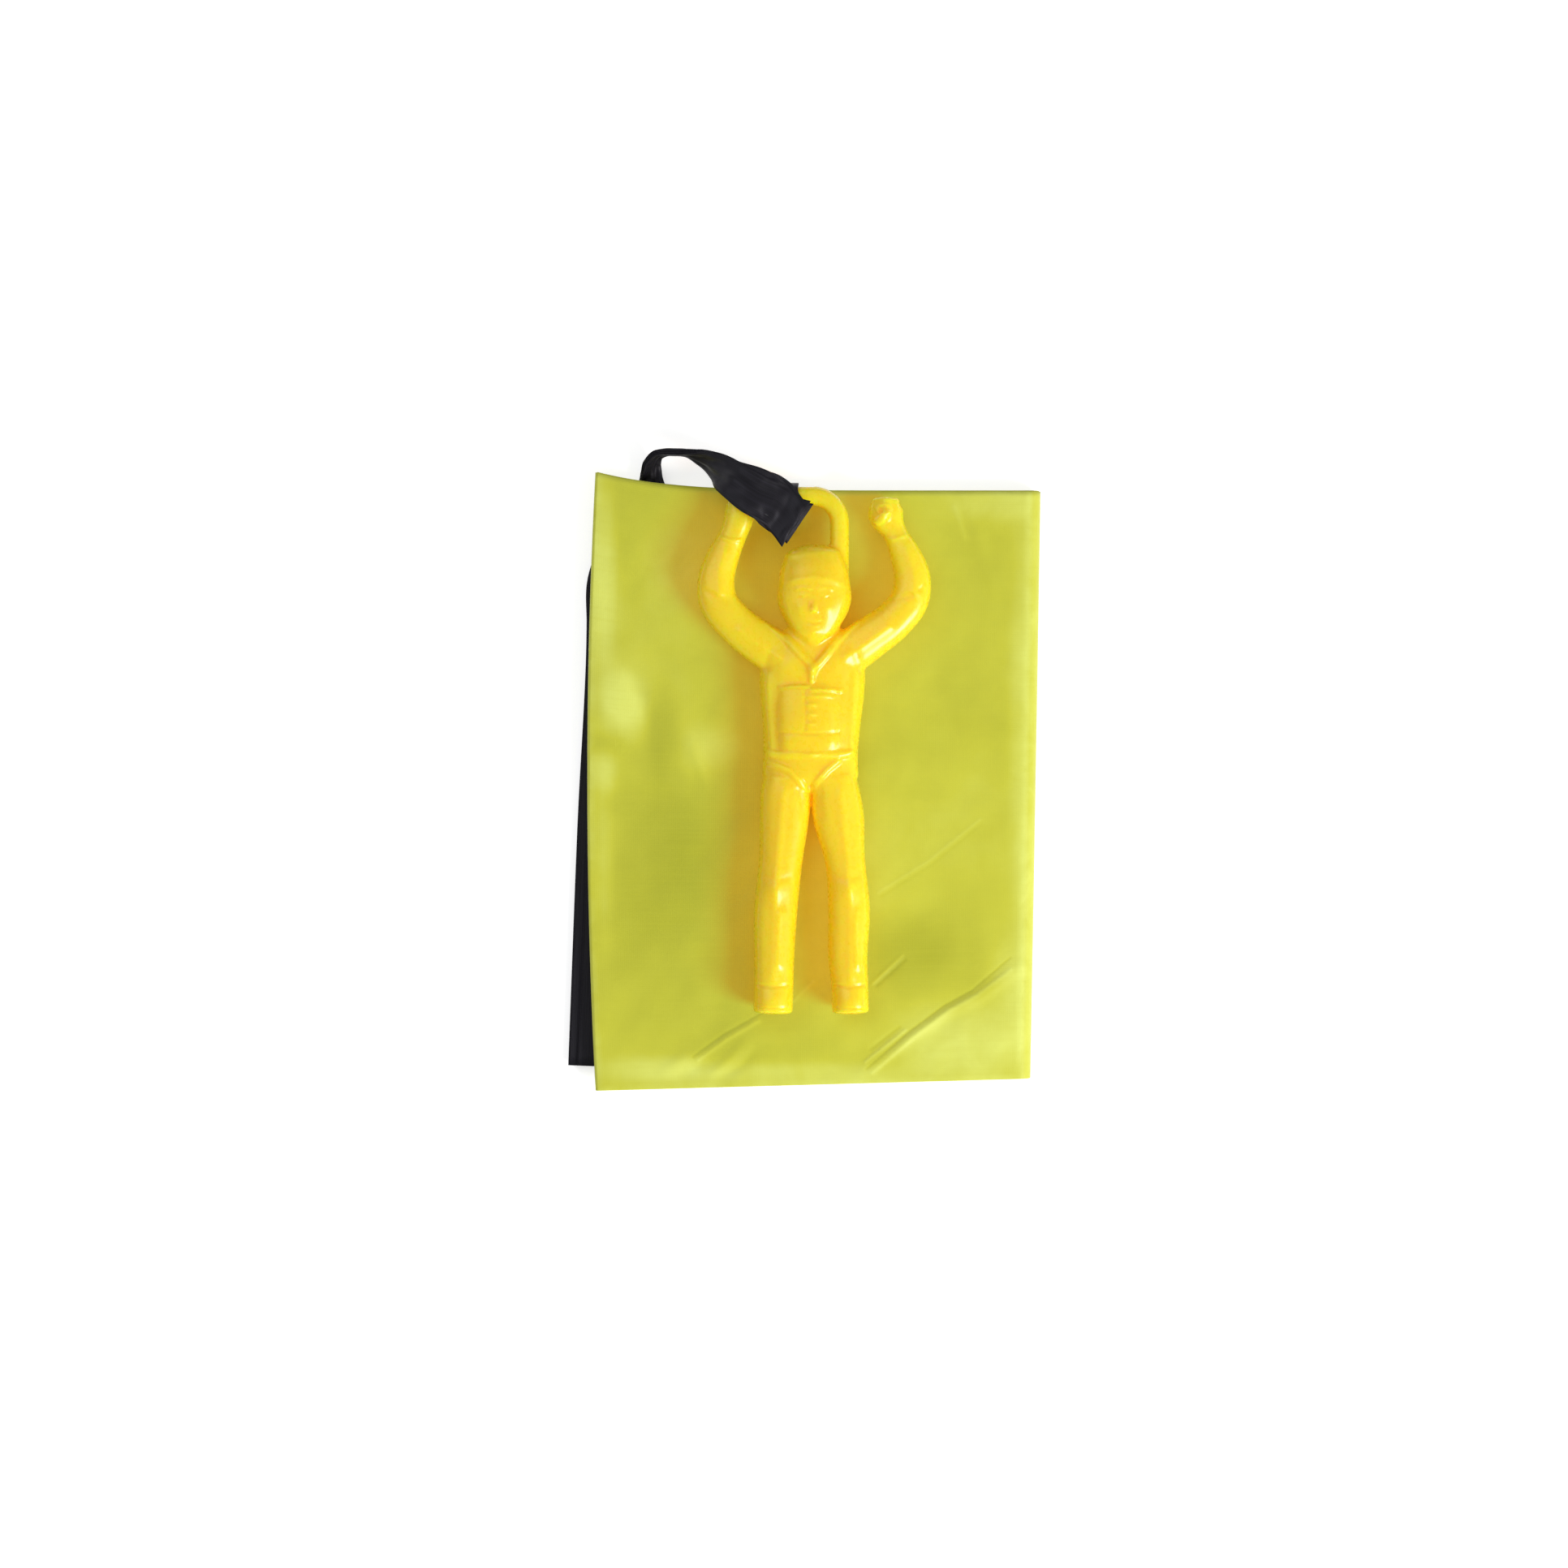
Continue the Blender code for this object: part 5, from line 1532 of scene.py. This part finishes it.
def line_relief(x, y, lines, edge):
    """Raised or sunk lines: a low edge power gives a rounded section, a high one a flat top."""
    relief = np.zeros(x.shape)
    for corners, width, height in lines:
        near, _ = nearest(x, y, np.array(corners) * FIGURE_LENGTH + np.array((0.0, FIGURE_FOOT_Y)))
        raised = height * FIGURE_LENGTH * np.exp(-((near / (width * FIGURE_LENGTH)) ** edge))
        higher = np.where(np.abs(raised) > np.abs(relief), raised, relief)
        relief = higher if height > 0 else relief + raised
    return relief


def mound_relief(x, y, mounds):
    """Round swellings and hollows, added up."""
    relief = np.zeros(x.shape)
    for across, along, radius_x, radius_y, height in mounds:
        off_x = (x - across * FIGURE_LENGTH) / (radius_x * FIGURE_LENGTH)
        off_y = (y - FIGURE_FOOT_Y - along * FIGURE_LENGTH) / (radius_y * FIGURE_LENGTH)
        relief += height * FIGURE_LENGTH * np.exp(-(off_x**2 + off_y**2))
    return relief


def mesh_arrays(mesh):
    """The mesh's points and its normals there."""
    places = np.zeros(len(mesh.vertices) * 3)
    normals = np.zeros(len(mesh.vertices) * 3)
    mesh.vertices.foreach_get("co", places)
    mesh.vertex_normals.foreach_get("vector", normals)
    return places.reshape(-1, 3), normals.reshape(-1, 3)


def figure_mesh():
    """Limbs, head, hand and hook as closed shells that run into each other, flat at the back."""
    trunk = (HEAD_SHARES, TORSO_SHARES, CHEST_PACK_SHARES, LEFT_ARM_SHARES, RIGHT_ARM_SHARES, NOSE_SHARES)
    parts = [body_part(shares) for shares in trunk]
    parts += [body_part(shares, SOLE_CAP_SHARE) for shares in (LEFT_LEG_SHARES, RIGHT_LEG_SHARES)]
    parts += fist_parts()
    parts.append(limb(hook_rows()))
    points, faces = [], []
    for part_points, part_faces in parts:
        start = len(points)
        points += part_points
        faces += [tuple(start + corner for corner in face) for face in part_faces]
    floor = PARTING_Z - BACK_DEPTH
    mesh = bpy.data.meshes.new("skydiver")
    mesh.from_pydata([(point.x, point.y, max(point.z, floor)) for point in points], [], faces)
    shell = bmesh.new()
    shell.from_mesh(mesh)
    bmesh.ops.recalc_face_normals(shell, faces=shell.faces)
    shell.to_mesh(mesh)
    shell.free()
    return mesh


def raise_relief(mesh):
    """Raises the dress and the face on the upper side, and the parting rim round it."""
    places, normals = mesh_arrays(mesh)
    x, y, z = places.T
    relief = line_relief(x, y, STRAP_LINES, STRAP_EDGE) + line_relief(x, y, SEAM_LINES, STRAP_EDGE)
    relief += line_relief(x, y, SOFT_LINES, SOFT_EDGE) + line_relief(x, y, FACE_LINES, SOFT_EDGE)
    relief += mound_relief(x, y, FACE_MOUNDS) + mound_relief(x, y, BODY_MOUNDS)
    facing = smoothstep(FACING_START, FACING_FULL, normals[:, 2])
    above_head = smoothstep(0.0, HOOK_FADE, y - (FIGURE_FOOT_Y + HOOK_FOOT_SHARE * FIGURE_LENGTH))
    on_hook = above_head * (np.abs(x - HOOK_MIDDLE_X) < HOOK_REACH_X)
    places[:, 2] += relief * facing * (1 - on_hook)
    rim = RIM_HEIGHT * np.exp(-(((z - PARTING_Z) / RIM_WIDTH) ** 2)) * (1 - np.abs(normals[:, 2]))
    away = ((np.abs(y - BAR_Y) > RIM_BAR_REACH) | (x > 0)).astype(float)
    places += normals * (rim * away)[:, None]
    mesh.vertices.foreach_set("co", places.reshape(-1))
    mesh.update()


def make_figure(material):
    """The skydiver, one moulding: limbs, head and hook merged, then its dress, face and rim raised."""
    figure = placed("skydiver", figure_mesh())
    figure.data.materials.append(material)
    merge = figure.modifiers.new("moulding", "REMESH")
    merge.mode = "VOXEL"
    merge.voxel_size = MOULD_GRAIN
    soften = figure.modifiers.new("soft edges", "SMOOTH")
    soften.factor, soften.iterations = SOFTENING, SOFTENING_ROUNDS
    settle(figure)
    raise_relief(figure.data)
    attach(figure, "figure")
    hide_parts("skydiver_figure")


# The two lamps: place, size and watts
KEY_LIGHT = ((0.74, -0.52, 0.66), 0.42, 12.0)
FILL_LIGHT = ((-0.55, 0.50, 1.05), 0.9, 3.0)


def make_camera():
    """Straight above the toy, as the picture was taken."""
    camera = placed("camera", bpy.data.cameras.new("camera"))
    camera.data.sensor_width = SENSOR_WIDTH
    camera.data.lens = SENSOR_WIDTH * (CAMERA_HEIGHT - VIEW_PLANE_Z) / VIEW_WIDTH
    camera.data.clip_start, camera.data.clip_end = CLIP_NEAR, CLIP_FAR
    camera.location = (VIEW_CENTRE_X, VIEW_CENTRE_Y, CAMERA_HEIGHT)
    bpy.context.scene.camera = camera


def area_light(name, place, size, watts, tint):
    """A soft square light that faces the toy."""
    lamp = bpy.data.lights.new(name, "AREA")
    lamp.size, lamp.energy, lamp.color = size, watts, tint
    made = placed(name, lamp)
    made.location = place
    made.rotation_euler = (-Vector(place)).to_track_quat("-Z", "Y").to_euler()


def make_floor():
    """The white floor that the toy lies on."""
    half = FLOOR_SIZE / 2
    corners = [(x, y, FLOOR_Z) for x, y in ((-half, -half), (half, -half), (half, half), (-half, half))]
    mesh = bpy.data.meshes.new("floor")
    mesh.from_pydata(corners, [], [(0, 1, 2, 3)])
    mesh.materials.append(floor_finish())
    placed("floor", mesh)


def make_room():
    """Plain white to the camera, and a softer level all round to the toy."""
    world = bpy.data.worlds.new("white room")
    world.use_nodes = True
    nodes, links = world.node_tree.nodes, world.node_tree.links
    rays = nodes.new("ShaderNodeLightPath")
    seen = nodes.new("ShaderNodeMath")
    seen.operation = "MAXIMUM"
    links.new(rays.outputs["Is Camera Ray"], seen.inputs[0])
    links.new(rays.outputs["Is Transmission Ray"], seen.inputs[1])
    level = nodes.new("ShaderNodeMapRange")
    level.inputs["To Min"].default_value = ROOM_LEVEL
    level.inputs["To Max"].default_value = 1.0
    links.new(seen.outputs[0], level.inputs["Value"])
    backdrop = nodes["Background"]
    backdrop.inputs["Color"].default_value = colour(PURE_WHITE)
    links.new(level.outputs[0], backdrop.inputs["Strength"])
    bpy.context.scene.world = world
    bpy.context.scene.view_settings.view_transform = "Standard"


def main():
    """The stage, then the toy's pieces from the cloth up."""
    make_camera()
    make_floor()
    area_light("key", *KEY_LIGHT, KEY_TINT)
    area_light("fill", *FILL_LIGHT, FILL_TINT)
    make_room()
    make_canopy(nylon_finish())
    satin = satin_finish()
    for number, level in STRIP_LEVEL_SHARES.items():
        make_ribbon(number, level, satin)
    make_loop_wrap(satin)
    make_tacks(thread_finish())
    make_figure(plastic_finish())


main()
